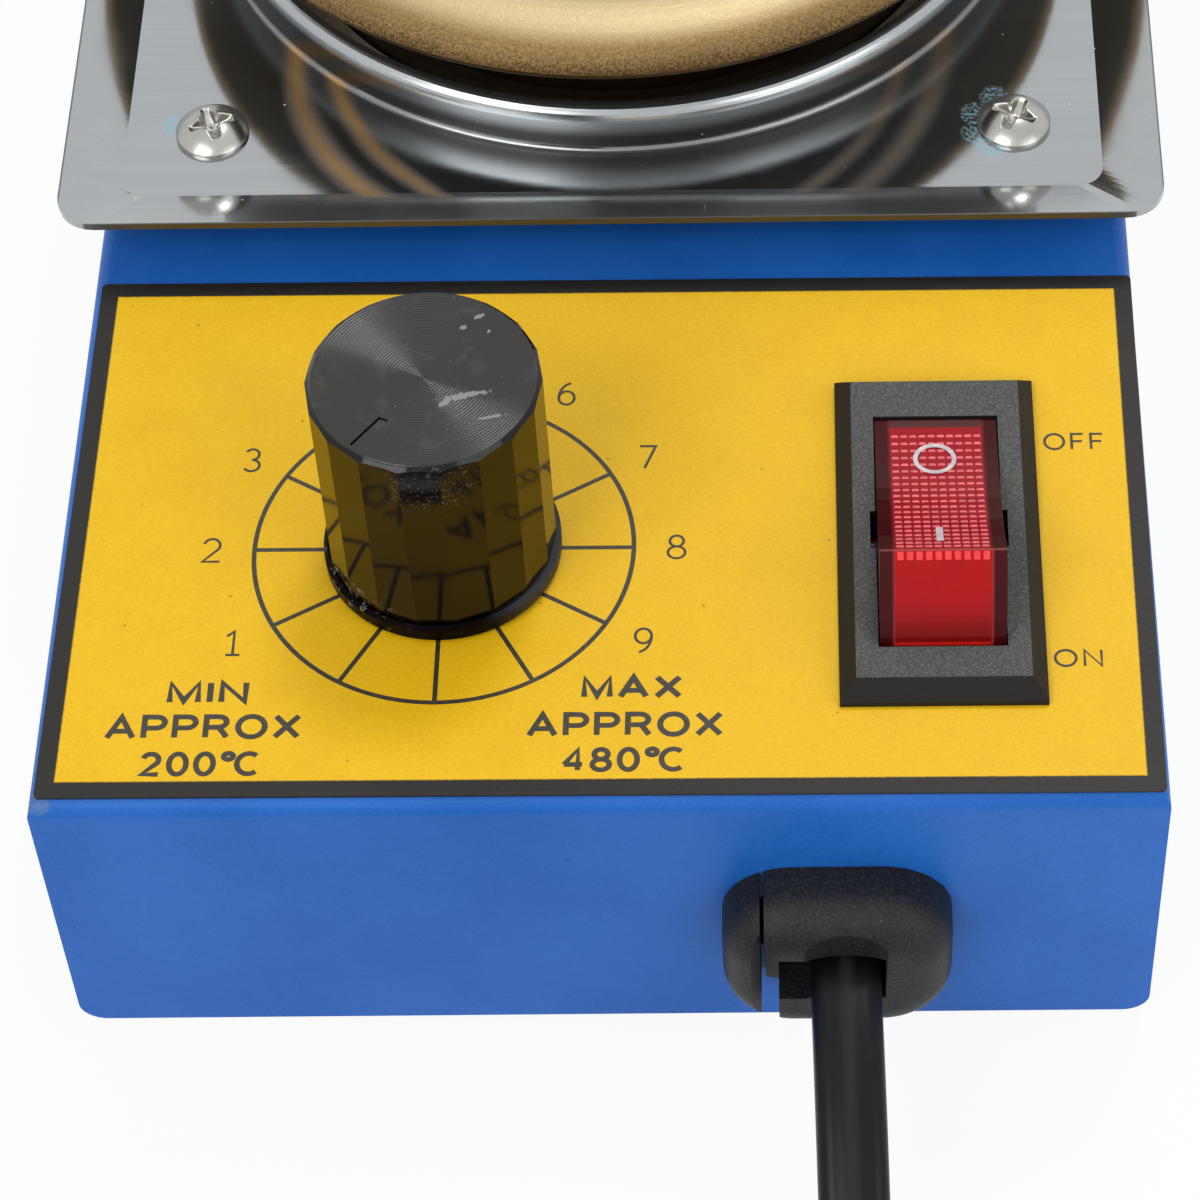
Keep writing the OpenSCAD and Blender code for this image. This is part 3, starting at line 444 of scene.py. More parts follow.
@dataclass(frozen=True)
class LabelFilm(Finish):
    """Printed polyester film: yellow ground inside a black border, with handling marks."""

    centre: Point
    turn: float
    width: float
    length: float
    border: float = 1.35 * MM
    blur: float = 0.08 * MM
    blotch: float = 4.5 * MM
    tooth: float = 0.22 * MM
    ground: Colour = srgb(236, 189, 20)
    shade: Colour = srgb(226, 177, 12)
    dirt: Colour = srgb(120, 86, 20)
    ink: Colour = srgb(30, 28, 24)
    wave: float = 7 * MM
    wave_deep: float = 0.12 * MM
    tooth_deep: float = 0.02 * MM
    rough: float = 0.42
    gloss: float = 0.28

    def draw(self, g: Graph) -> None:
        """The border is where the nearer edge lies closer than its width.

        Args:
            g: The material's graph.
        """
        x, y, _ = g.split(g.mapped(self.centre, (0, 0, self.turn)))
        edge = (self.width / 2 - abs(x)).lowest(self.length / 2 - abs(y))
        ragged = (g.noise(0.3 * MM, 1) - 0.5) * (0.06 * MM)
        border = (edge + ragged).fall(self.border - self.blur, self.border + self.blur)
        blotch = g.noise(self.blotch, 4, 0.6)
        tooth = g.noise(self.tooth, 2, 0.6)
        scuff = g.noise(1.2 * MM, 3, 0.6, (6, 0.5, 1), 0.6).step(0.66, 0.74)
        colour = g.mix(blotch.step(0.3, 0.7) * 0.35 + tooth.step(0.35, 0.65) * 0.65, self.shade, self.ground)
        colour = g.mix(g.specks(2.3 * MM, 0.07, 0.4) * 0.5, colour, self.dirt)
        colour = g.mix(border, colour, self.ink)
        relief = g.bump(g.noise(self.wave, 1), self.wave_deep, 0.5)
        relief = g.bump(tooth, self.tooth_deep, 0.9, relief)
        rough = self.rough + tooth * 0.10 + scuff * 0.10
        g.surface(base_color=colour, roughness=rough, specular_ior_level=self.gloss, normal=relief)


@dataclass(frozen=True)
class PrintInk(Finish):
    """Screen-printed ink: thin, slightly broken and uneven."""

    colour: Colour = srgb(40, 34, 22)
    blot: float = 0.4 * MM
    deep: float = 0.01 * MM
    rough: float = 0.45

    def draw(self, g: Graph) -> None:
        """Density varies in small blots.

        Args:
            g: The material's graph.
        """
        blot = g.noise(self.blot, 3, 0.6)
        lighter = tuple(c * 1.7 + 0.01 for c in self.colour)
        colour = g.mix(blot.step(0.42, 0.75), self.colour, lighter)
        g.surface(base_color=colour, roughness=self.rough + blot * 0.15, normal=g.bump(blot, self.deep))


@dataclass(frozen=True)
class BrushedSteel(Finish):
    """Bright rolled steel, pressed a little hollow: grain along one axis, smears and dust, with gold arcs of
    painted reflection and painted shade by the collar.
    """

    middle: Point
    half: float
    traces: tuple[Point, ...]
    along: Axis = Axis.X
    draw_out: float = 90.0
    grain: float = 0.16 * MM
    grain_deep: float = 0.003 * MM
    smear: float = 9 * MM
    dent: float = 16 * MM
    dent_deep: float = 0.16 * MM
    polish: float = 0.055
    hollow: float = 0.07
    collar_r: float = 36 * MM
    wall_low: float = 0.1 * MM
    wall_high: float = 3.0 * MM
    tint_r: float = 25.3 * MM
    tint_ahead: float = 21.1 * MM
    tint_gap: float = 2.9 * MM
    tint_wander: float = 5 * MM
    trace_r: float = 1.3 * MM
    colour: Colour = srgb(178, 182, 184)
    # Colour of the painted shade on the collar's wall and on the flat next to it.
    wall: Colour = srgb(70, 69, 68)
    cut: Colour = srgb(96, 96, 96)
    tint: Colour = srgb(196, 150, 76)
    dust: Colour = srgb(240, 240, 236)
    thread_paint: Colour = srgb(104, 192, 220)

    def draw(self, g: Graph) -> None:
        """Lines are noise drawn out along the grain, and the hollow rises with the distance from the middle.

        Args:
            g: The material's graph.
        """
        x, y, z = g.split(g.mapped(self.middle))
        away = (x * x + y * y) ** 0.5
        flat = z.fall(0.1 * MM, 0.4 * MM)
        in_collar = away.fall(self.collar_r - 1 * MM, self.collar_r)
        stretch = tuple(self.draw_out if axis is self.along else 1.0 for axis in Axis)
        lines = g.noise(self.grain, 3, 0.65, stretch)
        broad = g.noise(1.4 * MM, 2, 0.5, tuple(s * 0.5 + 0.5 for s in stretch))
        smear = g.noise(self.smear, 3, 0.6, (1.6, 1, 1), 0.8)
        dust = g.specks(2.2 * MM, 0.05, 0.4)
        cut = abs(x).highest(abs(y)).step(self.half - 0.16 * MM, self.half - 0.06 * MM)
        # Painted shade: the flat next to the collar is darkened where the collar's dark reflection falls.
        near = away.fall(self.collar_r - 1 * MM, self.collar_r + 3 * MM) * flat
        # Painted reflection: two gold arcs on the flat stand in for the cup's brim mirrored in the tray,
        # weaker on the right.
        tint = self.arcs(g, x, y) * flat * (0.5 + smear * 0.4) * (1 - x.step(-2 * MM, 8 * MM) * 0.6)
        colour = g.mix(lines * 0.6 + broad * 0.4, tuple(c * 0.80 for c in self.colour), self.colour)
        # Painted shade and reflection on the collar's wall, darkest at its sides and low down.
        colour = g.mix(self.burnish(x, z) * in_collar, colour, self.wall)
        colour = g.mix(cut, colour, self.cut)
        # Painted shade on the flat next to the collar.
        colour = g.mix(near * 0.6, colour, self.wall)
        # Painted reflection of the gold cup, in arcs on the flat.
        colour = g.mix(tint, colour, self.tint)
        colour = g.mix(dust * 0.8, colour, self.dust)
        metallic = 0.96 - dust * 0.7 - tint * 0.55
        crumb = g.noise(0.3 * MM, 3, 0.7).step(0.42, 0.62)
        for place in self.traces:
            trace = g.spot(place, 0, (self.trace_r, self.trace_r, self.trace_r)) * crumb
            colour = g.mix(trace * 0.6, colour, self.thread_paint)
            metallic = metallic * (1 - trace * 0.5)
        drawn = z.step(0.2 * MM, 0.6 * MM) * in_collar
        rough = self.polish + lines * 0.05 + smear.step(0.45, 0.75) * 0.05 + dust * 0.3 + cut * 0.35
        rough = rough + near * 0.16 + drawn * 0.12
        relief = g.bump(away * self.hollow, 1.0)
        relief = g.bump(lines, self.grain_deep, 0.5, relief)
        relief = g.bump(g.noise(self.dent, 1), self.dent_deep, 0.5, relief)
        g.surface(base_color=colour, metallic=metallic, roughness=rough, normal=relief)

    def burnish(self, x: Wire, z: Wire) -> Wire:
        """Painted shade and reflection on the collar's drawn wall, darker at its sides and low down.

        Args:
            x: Distance to the right of the middle.
            z: Height over the tray's flat.

        Returns:
            Its density.
        """
        wall = z.between(self.wall_low, self.wall_high, 0.5 * MM)
        # Painted shade, stronger away from the front middle and on the lower part of the wall.
        worn = abs(x).step(9 * MM, 24 * MM).highest(z.fall(1.2 * MM, 2.6 * MM))
        return wall * (0.1 + worn * 0.85)

    def arcs(self, g: Graph, x: Wire, y: Wire) -> Wire:
        """Two arcs of painted reflection of the gold cup ahead of the pot, about a point in front of the
        middle.

        Args:
            g: The material's graph.
            x: Distance to the right of the middle.
            y: Distance behind the middle.

        Returns:
            Their density.
        """
        ahead = y + self.tint_ahead
        wander = (g.noise(20 * MM, 1) - 0.5) * self.tint_wander
        off = (x * x + ahead * ahead) ** 0.5 + wander - self.tint_r
        return abs(off).fall(0, 1.5 * MM).highest(abs(off + self.tint_gap).fall(0, 1.1 * MM))


@dataclass(frozen=True)
class PlatedMetal(Finish):
    """Small metal parts: plating with tool marks and a little tarnish."""

    colour: Colour
    rough: float
    mark: float = 0.12 * MM
    mark_deep: float = 0.012 * MM
    drift: float = 3.5 * MM

    def draw(self, g: Graph) -> None:
        """Fine marks in the relief and a slow drift in colour and gloss.

        Args:
            g: The material's graph.
        """
        marks = g.noise(self.mark, 3, 0.6, (1, 1, 4))
        drift = g.noise(self.drift, 3, 0.6)
        dull = tuple(c * 0.66 for c in self.colour)
        colour = g.mix(drift.step(0.4, 0.8) * 0.6 + marks * 0.2, self.colour, dull)
        rough = self.rough + drift * 0.12 + marks * 0.08
        relief = g.bump(marks, self.mark_deep, 0.5)
        g.surface(base_color=colour, metallic=1.0, roughness=rough, normal=relief)


@dataclass(frozen=True)
class SatinGold(Finish):
    """Blasted and anodised cup: fine sparkle, a painted highlight pale along the crest and painted shade
    deeper below it in front.
    """

    crest: Point
    grain: float = 0.2 * MM
    grain_deep: float = 0.05 * MM
    stain: float = 12 * MM
    rough: float = 0.33
    # Colour of the painted highlight along the crest.
    worn: Colour = srgb(190, 173, 134)
    pale: Colour = srgb(154, 129, 86)
    # deep is the grain's darker tone and also the painted shade low on the brim.
    deep: Colour = srgb(66, 50, 29)

    def draw(self, g: Graph) -> None:
        """The painted highlight falls off in the first millimetre below the crest, and the painted shade lies
        towards the front.

        Args:
            g: The material's graph.
        """
        x, y, height = g.split(g.mapped(self.crest))
        front = (-y / (x * x + y * y) ** 0.5).step(0.5, 0.98)
        grain = g.noise(self.grain, 3, 0.75)
        stain = g.noise(self.stain, 3, 0.5)
        # Painted highlight along the crest.
        worn = height.step(-1.0 * MM, -0.1 * MM)
        # Painted shade: deeper tone low on the brim, strongest in front.
        low = height.fall(-2.8 * MM, -0.4 * MM) * (0.1 + front * 0.8)
        colour = g.mix(stain.step(0.3, 0.7) * 0.1 + grain.step(0.35, 0.65) * 0.4 + low, self.pale, self.deep)
        colour = g.mix(worn * 0.85, colour, self.worn)
        relief = g.bump(g.noise(0.35 * MM, 2, 0.6), 0.02 * MM, 0.5)
        relief = g.bump(grain, self.grain_deep, 1.0, relief)
        rough = self.rough + grain * 0.14 + stain * 0.05
        g.surface(base_color=colour, metallic=1.0, roughness=rough, normal=relief)


@dataclass(frozen=True)
class GlossKnob(Finish):
    """Turned black moulding: ringed top that fans its glints, polished flats, matt skirt, scars and residue,
    a painted sheen on the top and a painted reflection on the skirt's right side.

    A scar is its place from the axis in millimetres, its turn in degrees, and its half length and width.
    """

    axis: Point
    top: float
    skirt: float = 1.3 * MM
    ring_pitch: float = 0.22 * MM
    ring_deep: float = 0.022 * MM
    rough: float = 0.08
    gloss: float = 0.27
    colour: Colour = srgb(12, 8, 9)
    # scuff colours the scars, residue and specks, and also the painted sheen on the top.
    scuff: Colour = srgb(170, 170, 166)
    # Colour of the painted reflection on the skirt's right side.
    haze: Colour = srgb(44, 48, 56)
    scars: tuple[tuple[float, float, float, float, float], ...] = (
        (2.8, -1.7, 12.0, 2.0, 0.30), (1.7, -2.2, 40.0, 0.7, 0.28), (4.9, -3.6, 12.0, 1.1, 0.16),
        (3.7, 5.6, 35.0, 0.5, 0.22), (2.6, 4.6, 20.0, 0.3, 0.2), (4.4, 4.2, 70.0, 0.25, 0.15),
    )
    dust_place: Point = (0.8, -8.3, -2.2)
    dust_size: Point = (4.2, 2.5, 3.0)

    def draw(self, g: Graph) -> None:
        """Rings are a sine of the distance from the axis, on the top face only.

        Args:
            g: The material's graph.
        """
        x, y, z = g.split(g.mapped(self.axis))
        away = (x * x + y * y) ** 0.5
        on_top = z.step(self.top - 0.12 * MM, self.top - 0.04 * MM)
        rings = (away * (2 * math.pi / self.ring_pitch)).wave()
        torn = (g.noise(0.35 * MM, 3, 0.7) - 0.5) * 2.4
        scar = self.scarred(g, torn) * on_top
        # Patches where the top's painted sheen is stronger.
        rubbed = g.noise(3.2 * MM, 4, 0.65, warp=0.6).step(0.52, 0.72)
        specks = g.specks(0.9 * MM, 0.10, 0.18) * on_top
        dust = g.spot(self.on_knob(*self.dust_place), 0, tuple(v * MM for v in self.dust_size), torn * 0.5)
        dust = dust * g.noise(0.3 * MM, 3, 0.8).step(0.56, 0.68) * (1 - on_top)
        low_edge = z.fall(self.skirt + 0.7 * MM, self.skirt + 2.2 * MM)
        low_edge = low_edge * (x + y * 0.35).fall(-7.6 * MM, -4.5 * MM)
        residue = g.noise(0.7 * MM, 4, 0.75).step(0.56, 0.63) * low_edge
        matt = z.fall(self.skirt + 0.35 * MM, self.skirt + 0.55 * MM)
        # Painted reflection: the skirt's right side is lightened to a bluish grey.
        right = z.fall(self.skirt + 0.1 * MM, self.skirt + 0.2 * MM) * x.step(3 * MM, 7.5 * MM)
        colour = g.mix(right * 0.8, self.colour, self.haze)
        # Painted sheen: the top is lightened towards the scuff colour, more in patches.
        colour = g.mix(on_top * (0.07 + rubbed * 0.06), colour, self.scuff)
        marks = (residue * 0.55).highest(scar * 0.55).highest(specks * 0.3).highest(dust * 0.2)
        colour = g.mix(marks, colour, self.scuff)
        rough = self.rough + on_top * 0.06 + residue * 0.4 + rubbed * 0.04 + matt * 0.42 + scar * 0.25
        g.surface(
            base_color=colour,
            metallic=matt * (1 - right),
            roughness=rough,
            specular_ior_level=self.gloss,
            normal=g.bump(rings * on_top - scar * 0.8 - residue * 0.5, self.ring_deep),
        )

    def on_knob(self, x: float, y: float, z: float) -> Point:
        """A place in millimetres from the middle of the top."""
        return (self.axis[0] + x * MM, self.axis[1] + y * MM, self.axis[2] + self.top + z * MM)

    def scarred(self, g: Graph, torn: Wire) -> Wire:
        """The scars, each a ragged ellipse.

        Args:
            g: The material's graph.
            torn: Shift of their edges.

        Returns:
            1 in a scar and 0 elsewhere.
        """
        spots = [
            g.spot(self.on_knob(x, y, 0), math.radians(turn), (long * MM, wide * MM, 1 * MM), torn)
            for x, y, turn, long, wide in self.scars
        ]
        return reduce(Wire.highest, spots)


@dataclass(frozen=True)
class Moulding(Finish):
    """Moulded plastic or rubber: eroded grain, flow marks and light dust, and a painted sheen that shows the
    flecks in full only above a level.
    """

    colour: Colour
    fleck: Colour
    grain: float
    depth: float
    rough: float
    gloss: float = 0.3
    # Level above which the flecks show in full, as painted sheen.
    rubbed_from: float = NOWHERE[2]
    even: float = 0.0
    flow: float = 7 * MM
    dust: Colour = srgb(150, 150, 146)

    def draw(self, g: Graph) -> None:
        """Grain raises the surface and gives its tops the paler fleck colour; even spreads the paler tone.
        Where a level is set, the flecks are held back below it and the paler tone above it is painted sheen.

        Args:
            g: The material's graph.
        """
        height = g.split(g.place())[2]
        grain = g.noise(self.grain, 3, 0.65)
        flow = g.noise(self.flow, 3, 0.55)
        dust = g.specks(1.4 * MM, 0.06, 0.2)
        # Painted sheen: below the level the fleck colour is nearly held back, above it shows in full.
        rubbed = 0.06 + height.step(self.rubbed_from - 0.06 * MM, self.rubbed_from) * 0.94
        flecks = (grain.step(0.44, 0.68) * 0.8 + flow * 0.2) * (1 - self.even) + self.even
        colour = g.mix(flecks * rubbed, self.colour, self.fleck)
        colour = g.mix(dust * 0.3, colour, self.dust)
        rough = self.rough + grain * 0.12 + dust * 0.2
        relief = g.bump(grain, self.depth, 0.8)
        g.surface(base_color=colour, roughness=rough, specular_ior_level=self.gloss, normal=relief)


@dataclass(frozen=True)
class RockerLens(Finish):
    """Clear red moulding of the rocker: painted shade on the side walls and low on the front face, glowing
    middle, painted highlights on the rims and along the foot, and faint smoky clouds.
    """

    pivot: Point
    tilt: float
    wall_x: float = 3.4 * MM
    back_y: float = 8.1 * MM
    ledge_y: float = -8.72 * MM
    front_y: float = -8.85 * MM
    foot_z: float = -1.05 * MM
    blur: float = 0.06 * MM
    rough: float = 0.16
    gloss: float = 0.16
    red: Colour = srgb(158, 22, 32)
    face_high: Colour = srgb(168, 14, 18)
    face_low: Colour = srgb(112, 6, 7)
    rear: Colour = srgb(84, 44, 46)
    smoke: Colour = srgb(62, 2, 4)
    rim: Colour = srgb(214, 70, 76)
    foot: Colour = srgb(230, 40, 26)
    glint: Colour = srgb(226, 130, 130)

    def draw(self, g: Graph) -> None:
        """Bands across the rocker in its own tilted frame, mixed by smooth steps.

        Args:
            g: The material's graph.
        """
        x, y, z = g.split(g.mapped(self.pivot, (-self.tilt, 0, 0)))
        wide, ahead = abs(x), -y
        # Painted shade on the side walls, with a painted highlight along their seam.
        side = wide.step(self.wall_x - self.blur, self.wall_x + self.blur)
        seam = side * wide.fall(self.wall_x + self.blur, self.wall_x + self.blur + 0.2 * MM)
        back = y.step(self.back_y, self.back_y + 0.3 * MM)
        front = ahead.step(-self.front_y, -self.front_y + 0.25 * MM)
        ledge = ahead.step(-self.ledge_y, -self.ledge_y + 0.1 * MM) * (1 - front)
        # Painted highlight: a bright band along the foot of the front face.
        foot = z.between(self.foot_z, self.foot_z + 0.45 * MM, 0.15 * MM)
        cloud = g.noise(1.6 * MM, 3, 0.6)
        fine = g.noise(0.5 * MM)
        # Painted shade: the front face darkens towards its foot.
        face = g.mix(z.step(-1.2 * MM, 3.2 * MM), self.face_low, self.face_high)
        face = g.mix(foot * 0.6, face, self.foot)
        colour = g.mix(front, g.mix(back, self.red, self.rear), face)
        colour = g.mix(side, colour, self.smoke)
        colour = g.mix(seam * (0.12 + front * 0.2), colour, self.rim)
        colour = g.mix(cloud.step(0.4, 0.8) * 0.12, colour, self.smoke)
        colour = g.mix(ledge * 0.5, colour, self.glint)
        relief = g.bump(fine, 0.01 * MM, 0.5)
        rough = self.rough + fine * 0.08
        g.surface(base_color=colour, roughness=rough, specular_ior_level=self.gloss, normal=relief)


@dataclass(frozen=True)
class ClearPlastic(Finish):
    """Bright translucent detail on the rocker, and the lamp's glass."""

    colour: Colour
    rough: float
    drift: float = 0.9 * MM

    def draw(self, g: Graph) -> None:
        """A lit-through tone that drifts a little.

        Args:
            g: The material's graph.
        """
        drift = g.noise(self.drift, 3, 0.6)
        deeper = tuple(c * 0.72 for c in self.colour)
        colour = g.mix(drift.step(0.3, 0.7), deeper, self.colour)
        g.surface(base_color=colour, roughness=self.rough + drift * 0.1, normal=g.bump(drift, 0.01 * MM, 0.4))


@dataclass(frozen=True)
class CordJacket(Finish):
    """Extruded PVC: faint draw lines along the cord, a painted highlight along its middle and stray scuffs.
    """

    colour: Colour = srgb(8, 9, 13)
    rubbed: Colour = srgb(30, 31, 33)
    wander: float = 2.2 * MM
    deep: float = 0.010 * MM
    rough: float = 0.34
    gloss: float = 0.2

    def draw(self, g: Graph) -> None:
        """Reads the cord's own attribute: metres along it, then its place across, from -1 to 1.

        Args:
            g: The material's graph.
        """
        along, across, _ = g.split(g.wire("ShaderNodeAttribute", {"attribute_name": "lay"}, output="Vector"))
        wander = g.noise(self.wander, 3, 0.6)
        lines = (across * 22 + wander * 2.5).wave()
        scuff = g.math("SINE", along * 900 + wander * 14).step(0.90, 0.99) * wander.step(0.56, 0.66)
        # Painted highlight: a paler band down the middle of the cord.
        crest = abs(across).fall(0.06, 0.30)
        colour = g.mix(crest * 0.7 + lines * 0.05 + scuff * 0.35, self.colour, self.rubbed)
        relief = g.bump(lines * 0.3 + wander * 1.2, self.deep, 0.5)
        rough = self.rough + crest * 0.14 + scuff * 0.15
        g.surface(base_color=colour, roughness=rough, specular_ior_level=self.gloss, normal=relief)


@dataclass(frozen=True)
class Fibrous(Finish):
    """Woven or felted heat-proof lining."""

    colour: Colour = srgb(222, 214, 194)
    shade: Colour = srgb(176, 164, 138)
    pitch: float = 0.8 * MM
    deep: float = 0.15 * MM
    rough: float = 0.9

    def draw(self, g: Graph) -> None:
        """Fibres are two crossed sets of stretched noise.

        Args:
            g: The material's graph.
        """
        across = g.noise(self.pitch, 3, 0.7, (4, 4, 0.3))
        down = g.noise(self.pitch, 3, 0.7, (0.4, 0.4, 5))
        fibre = across.highest(down)
        colour = g.mix(fibre.step(0.4, 0.75), self.shade, self.colour)
        g.surface(base_color=colour, roughness=self.rough, normal=g.bump(fibre, self.deep, 0.8))


@dataclass(frozen=True)
class Laminate(Finish):
    """Paper laminate of a board or card, with tracks showing as paler bands."""

    colour: Colour = srgb(178, 138, 78)
    track: Colour = srgb(140, 118, 72)
    track_size: float = 11 * MM
    track_deep: float = 0.03 * MM
    rough: float = 0.45

    def draw(self, g: Graph) -> None:
        """Tracks are the contour bands of a slow noise.

        Args:
            g: The material's graph.
        """
        bands = g.math("SINE", g.noise(self.track_size, 1, 0.4) * 46).step(0.1, 0.3)
        paper = g.noise(0.4 * MM, 3, 0.6, (1, 3, 1))
        colour = g.mix(bands * 0.6 + paper * 0.3, self.colour, self.track)
        relief = g.bump(bands, self.track_deep, 0.6)
        g.surface(base_color=colour, roughness=self.rough + paper * 0.1, normal=relief)


# ------------------------------------------------------------------ mesh tools


WELD = 1e-7  # points closer than this become one


@dataclass
class Shape:
    """Points and faces of a skin, and the numbers that its finish reads at each point."""

    points: np.ndarray
    faces: list[list[int]]
    lay: np.ndarray | None = None

    @classmethod
    def grid(cls, points: np.ndarray, around: bool = True, capped: bool = True) -> "Shape":
        """Skins a grid of points with four-sided faces.

        Face (i, j) joins the points (i, j), (i, j + 1), (i + 1, j + 1) and (i + 1, j).

        Args:
            points: The grid, rows by columns by 3.
            around: The last column joins the first.
            capped: The first and last row are closed by a flat face each.

        Returns:
            The skin.
        """
        rows, columns = points.shape[:2]
        last = columns if around else columns - 1
        i, j = np.meshgrid(np.arange(rows - 1), np.arange(last), indexing="ij")
        k = (j + 1) % columns
        corners = [i * columns + j, i * columns + k, (i + 1) * columns + k, (i + 1) * columns + j]
        faces = np.stack(corners, axis=-1).reshape(-1, 4).tolist()
        if capped:
            faces.append(list(range(columns))[::-1])
            faces.append(list(range((rows - 1) * columns, rows * columns)))
        return cls(points.reshape(-1, 3), faces)

    @classmethod
    def joined(cls, shapes: Sequence["Shape"]) -> "Shape":
        """Puts several skins together.

        Args:
            shapes: The skins.

        Returns:
            One skin of them all.
        """
        starts = np.cumsum([0] + [len(s.points) for s in shapes[:-1]])
        faces = [[int(start) + v for v in face] for s, start in zip(shapes, starts) for face in s.faces]
        return cls(np.concatenate([s.points for s in shapes]), faces)

    def moved(self, by: Sequence[float]) -> "Shape":
        """The skin shifted by a vector."""
        return Shape(self.points + np.asarray(by), self.faces, self.lay)

    def stretched(self, by: Sequence[float]) -> "Shape":
        """The skin drawn out from the origin by a factor along each axis."""
        return Shape(self.points * np.asarray(by), self.faces, self.lay)

    def turned(self, angle: float, axis: Axis = Axis.Z) -> "Shape":
        """The skin turned about an axis through the origin, by radians."""
        spin = np.array(Matrix.Rotation(angle, 3, axis.name))
        return Shape(self.points @ spin.T, self.faces, self.lay)


def revolved(profile: np.ndarray, segments: int) -> Shape:
    """Skin of a profile turned about Z.

    Point (i, j) is (r cos a, r sin a, z) for row i of the profile and angle a = 2 pi j / segments.

    Args:
        profile: Rows of radius and height, from one end of the axis to the other.
        segments: Number of points round the axis.

    Returns:
        The closed skin.
    """
    angle = np.linspace(0, 2 * math.pi, segments, endpoint=False)
    radius = np.maximum(profile[:, :1], 1e-6)
    height = np.repeat(profile[:, 1:], segments, axis=1)
    return Shape.grid(np.stack([radius * np.cos(angle), radius * np.sin(angle), height], axis=-1))


def flat_ring(radius: float, line: float, thick: float, segments: int) -> Shape:
    """A thin flat ring about Z.

    Row i is an upright rectangle at the angle 2 pi i / segments, half a line's width to either side
    of the radius.

    Args:
        radius: Radius of the line's middle.
        line: Width of the line.
        thick: Height of the ring.
        segments: Number of rectangles.

    Returns:
        The skin, from 0 up.
    """
    angle = np.linspace(0, 2 * math.pi, segments + 1)[:, None]
    radii = radius + line * np.array([-0.5, 0.5, 0.5, -0.5])
    heights = np.broadcast_to([0, 0, thick, thick], (segments + 1, 4))
    rows = np.stack([radii * np.cos(angle), radii * np.sin(angle), heights], axis=-1)
    return Shape.grid(rows, capped=False)


def slab(low: Sequence[float], high: Sequence[float], edge: float = 0.0) -> Shape:
    """A box with its edges cut back.

    Its outline has the points (x - e, y) and (x, y - e) by a corner (x, y), with e towards the middle.
    Top and foot are that outline, drawn in by e as well.

    Args:
        low: Its lowest corner.
        high: Its highest corner.
        edge: How far its edges are cut back, e.

    Returns:
        The skin.
    """
    low, high = np.asarray(low, float), np.asarray(high, float)
    x, y, z = (high - low) / 2
    right = np.array([[x - edge, -y], [x, edge - y], [x, y - edge], [x - edge, y]])
    outline = np.concatenate([right, -right])
    inner = outline * [1 - edge / x, 1 - edge / y]
    rows = [(inner, -z), (outline, edge - z), (outline, z - edge), (inner, z)]
    skin = Shape.grid(np.stack([np.c_[flat, np.full(len(flat), height)] for flat, height in rows]))
    return skin.moved((low + high) / 2)


def tube(path: np.ndarray, section: np.ndarray) -> Shape:
    """A closed bar of one section along a path, level across.

    At a path point with heading t the section's first axis is t x Z and its second is that axis x t.

    Args:
        path: Points of the centreline.
        section: Outline of the section as rows of (across, over).

    Returns:
        The skin. Its lay is (metres along, share across, 0) at each point.
    """
    heading = np.gradient(path, axis=0)
    heading /= np.linalg.norm(heading, axis=1, keepdims=True)
    side = np.cross(heading, [0.0, 0.0, 1.0])
    side /= np.linalg.norm(side, axis=1, keepdims=True)
    over = np.cross(side, heading)
    rings = path[:, None] + section[:, :1] * side[:, None] + section[:, 1:] * over[:, None]
    along = np.r_[0, np.cumsum(np.linalg.norm(np.diff(path, axis=0), axis=1))]
    across = section[:, 0] / np.abs(section[:, 0]).max()
    shape = Shape.grid(rings)
    shape.lay = np.stack(np.broadcast_arrays(along[:, None], across[None], 0.0), axis=-1).reshape(-1, 3)
    return shape


def smooth_path(points: np.ndarray, step: float) -> np.ndarray:
    """A smooth curve through points, sampled evenly.

    Each span is a cubic Hermite curve; the slope at a point is that of its neighbours over their chord.

    Args:
        points: The points it passes.
        step: Distance between its samples.

    Returns:
        The samples, ends included.
    """
    chord = np.linalg.norm(np.diff(points, axis=0), axis=1)
    knot = np.r_[0, np.cumsum(chord)]
    slope = np.gradient(points, knot, axis=0)
    per_span = 24
    t = np.linspace(0, 1, per_span, endpoint=False)[None, :, None]
    p, q = points[:-1, None], points[1:, None]
    m, n = slope[:-1, None] * chord[:, None, None], slope[1:, None] * chord[:, None, None]
    spans = (2 * t**3 - 3 * t**2 + 1) * p + (3 * t**2 - 2 * t**3) * q
    spans = spans + (t**3 - 2 * t**2 + t) * m + (t**3 - t**2) * n
    fine = np.concatenate([spans.reshape(-1, 3), points[-1:]])
    run = np.r_[0, np.cumsum(np.linalg.norm(np.diff(fine, axis=0), axis=1))]
    even = np.linspace(0, run[-1], max(2, int(round(run[-1] / step)) + 1))
    return np.stack([np.interp(even, run, fine[:, axis]) for axis in range(3)], axis=1)


def superellipse(
    half_width: np.ndarray, half_height: np.ndarray, power: np.ndarray, count: int
) -> np.ndarray:
    """Rounded outlines.

    Point j at angle a is (w |cos a|^(2/n) sign cos a, h |sin a|^(2/n) sign sin a).

    Args:
        half_width: Half width w of each row.
        half_height: Half height h of each row.
        power: Squareness n of each row.
        count: Points round an outline.

    Returns:
        An array of rows by count by 2.
    """
    angle = np.linspace(0, 2 * math.pi, count, endpoint=False)
    exponent = 2 / np.asarray(power, float)[:, None]
    across = np.sign(np.cos(angle)) * np.abs(np.cos(angle)) ** exponent * np.asarray(half_width)[:, None]
    up = np.sign(np.sin(angle)) * np.abs(np.sin(angle)) ** exponent * np.asarray(half_height)[:, None]
    return np.stack([across, up], axis=-1)


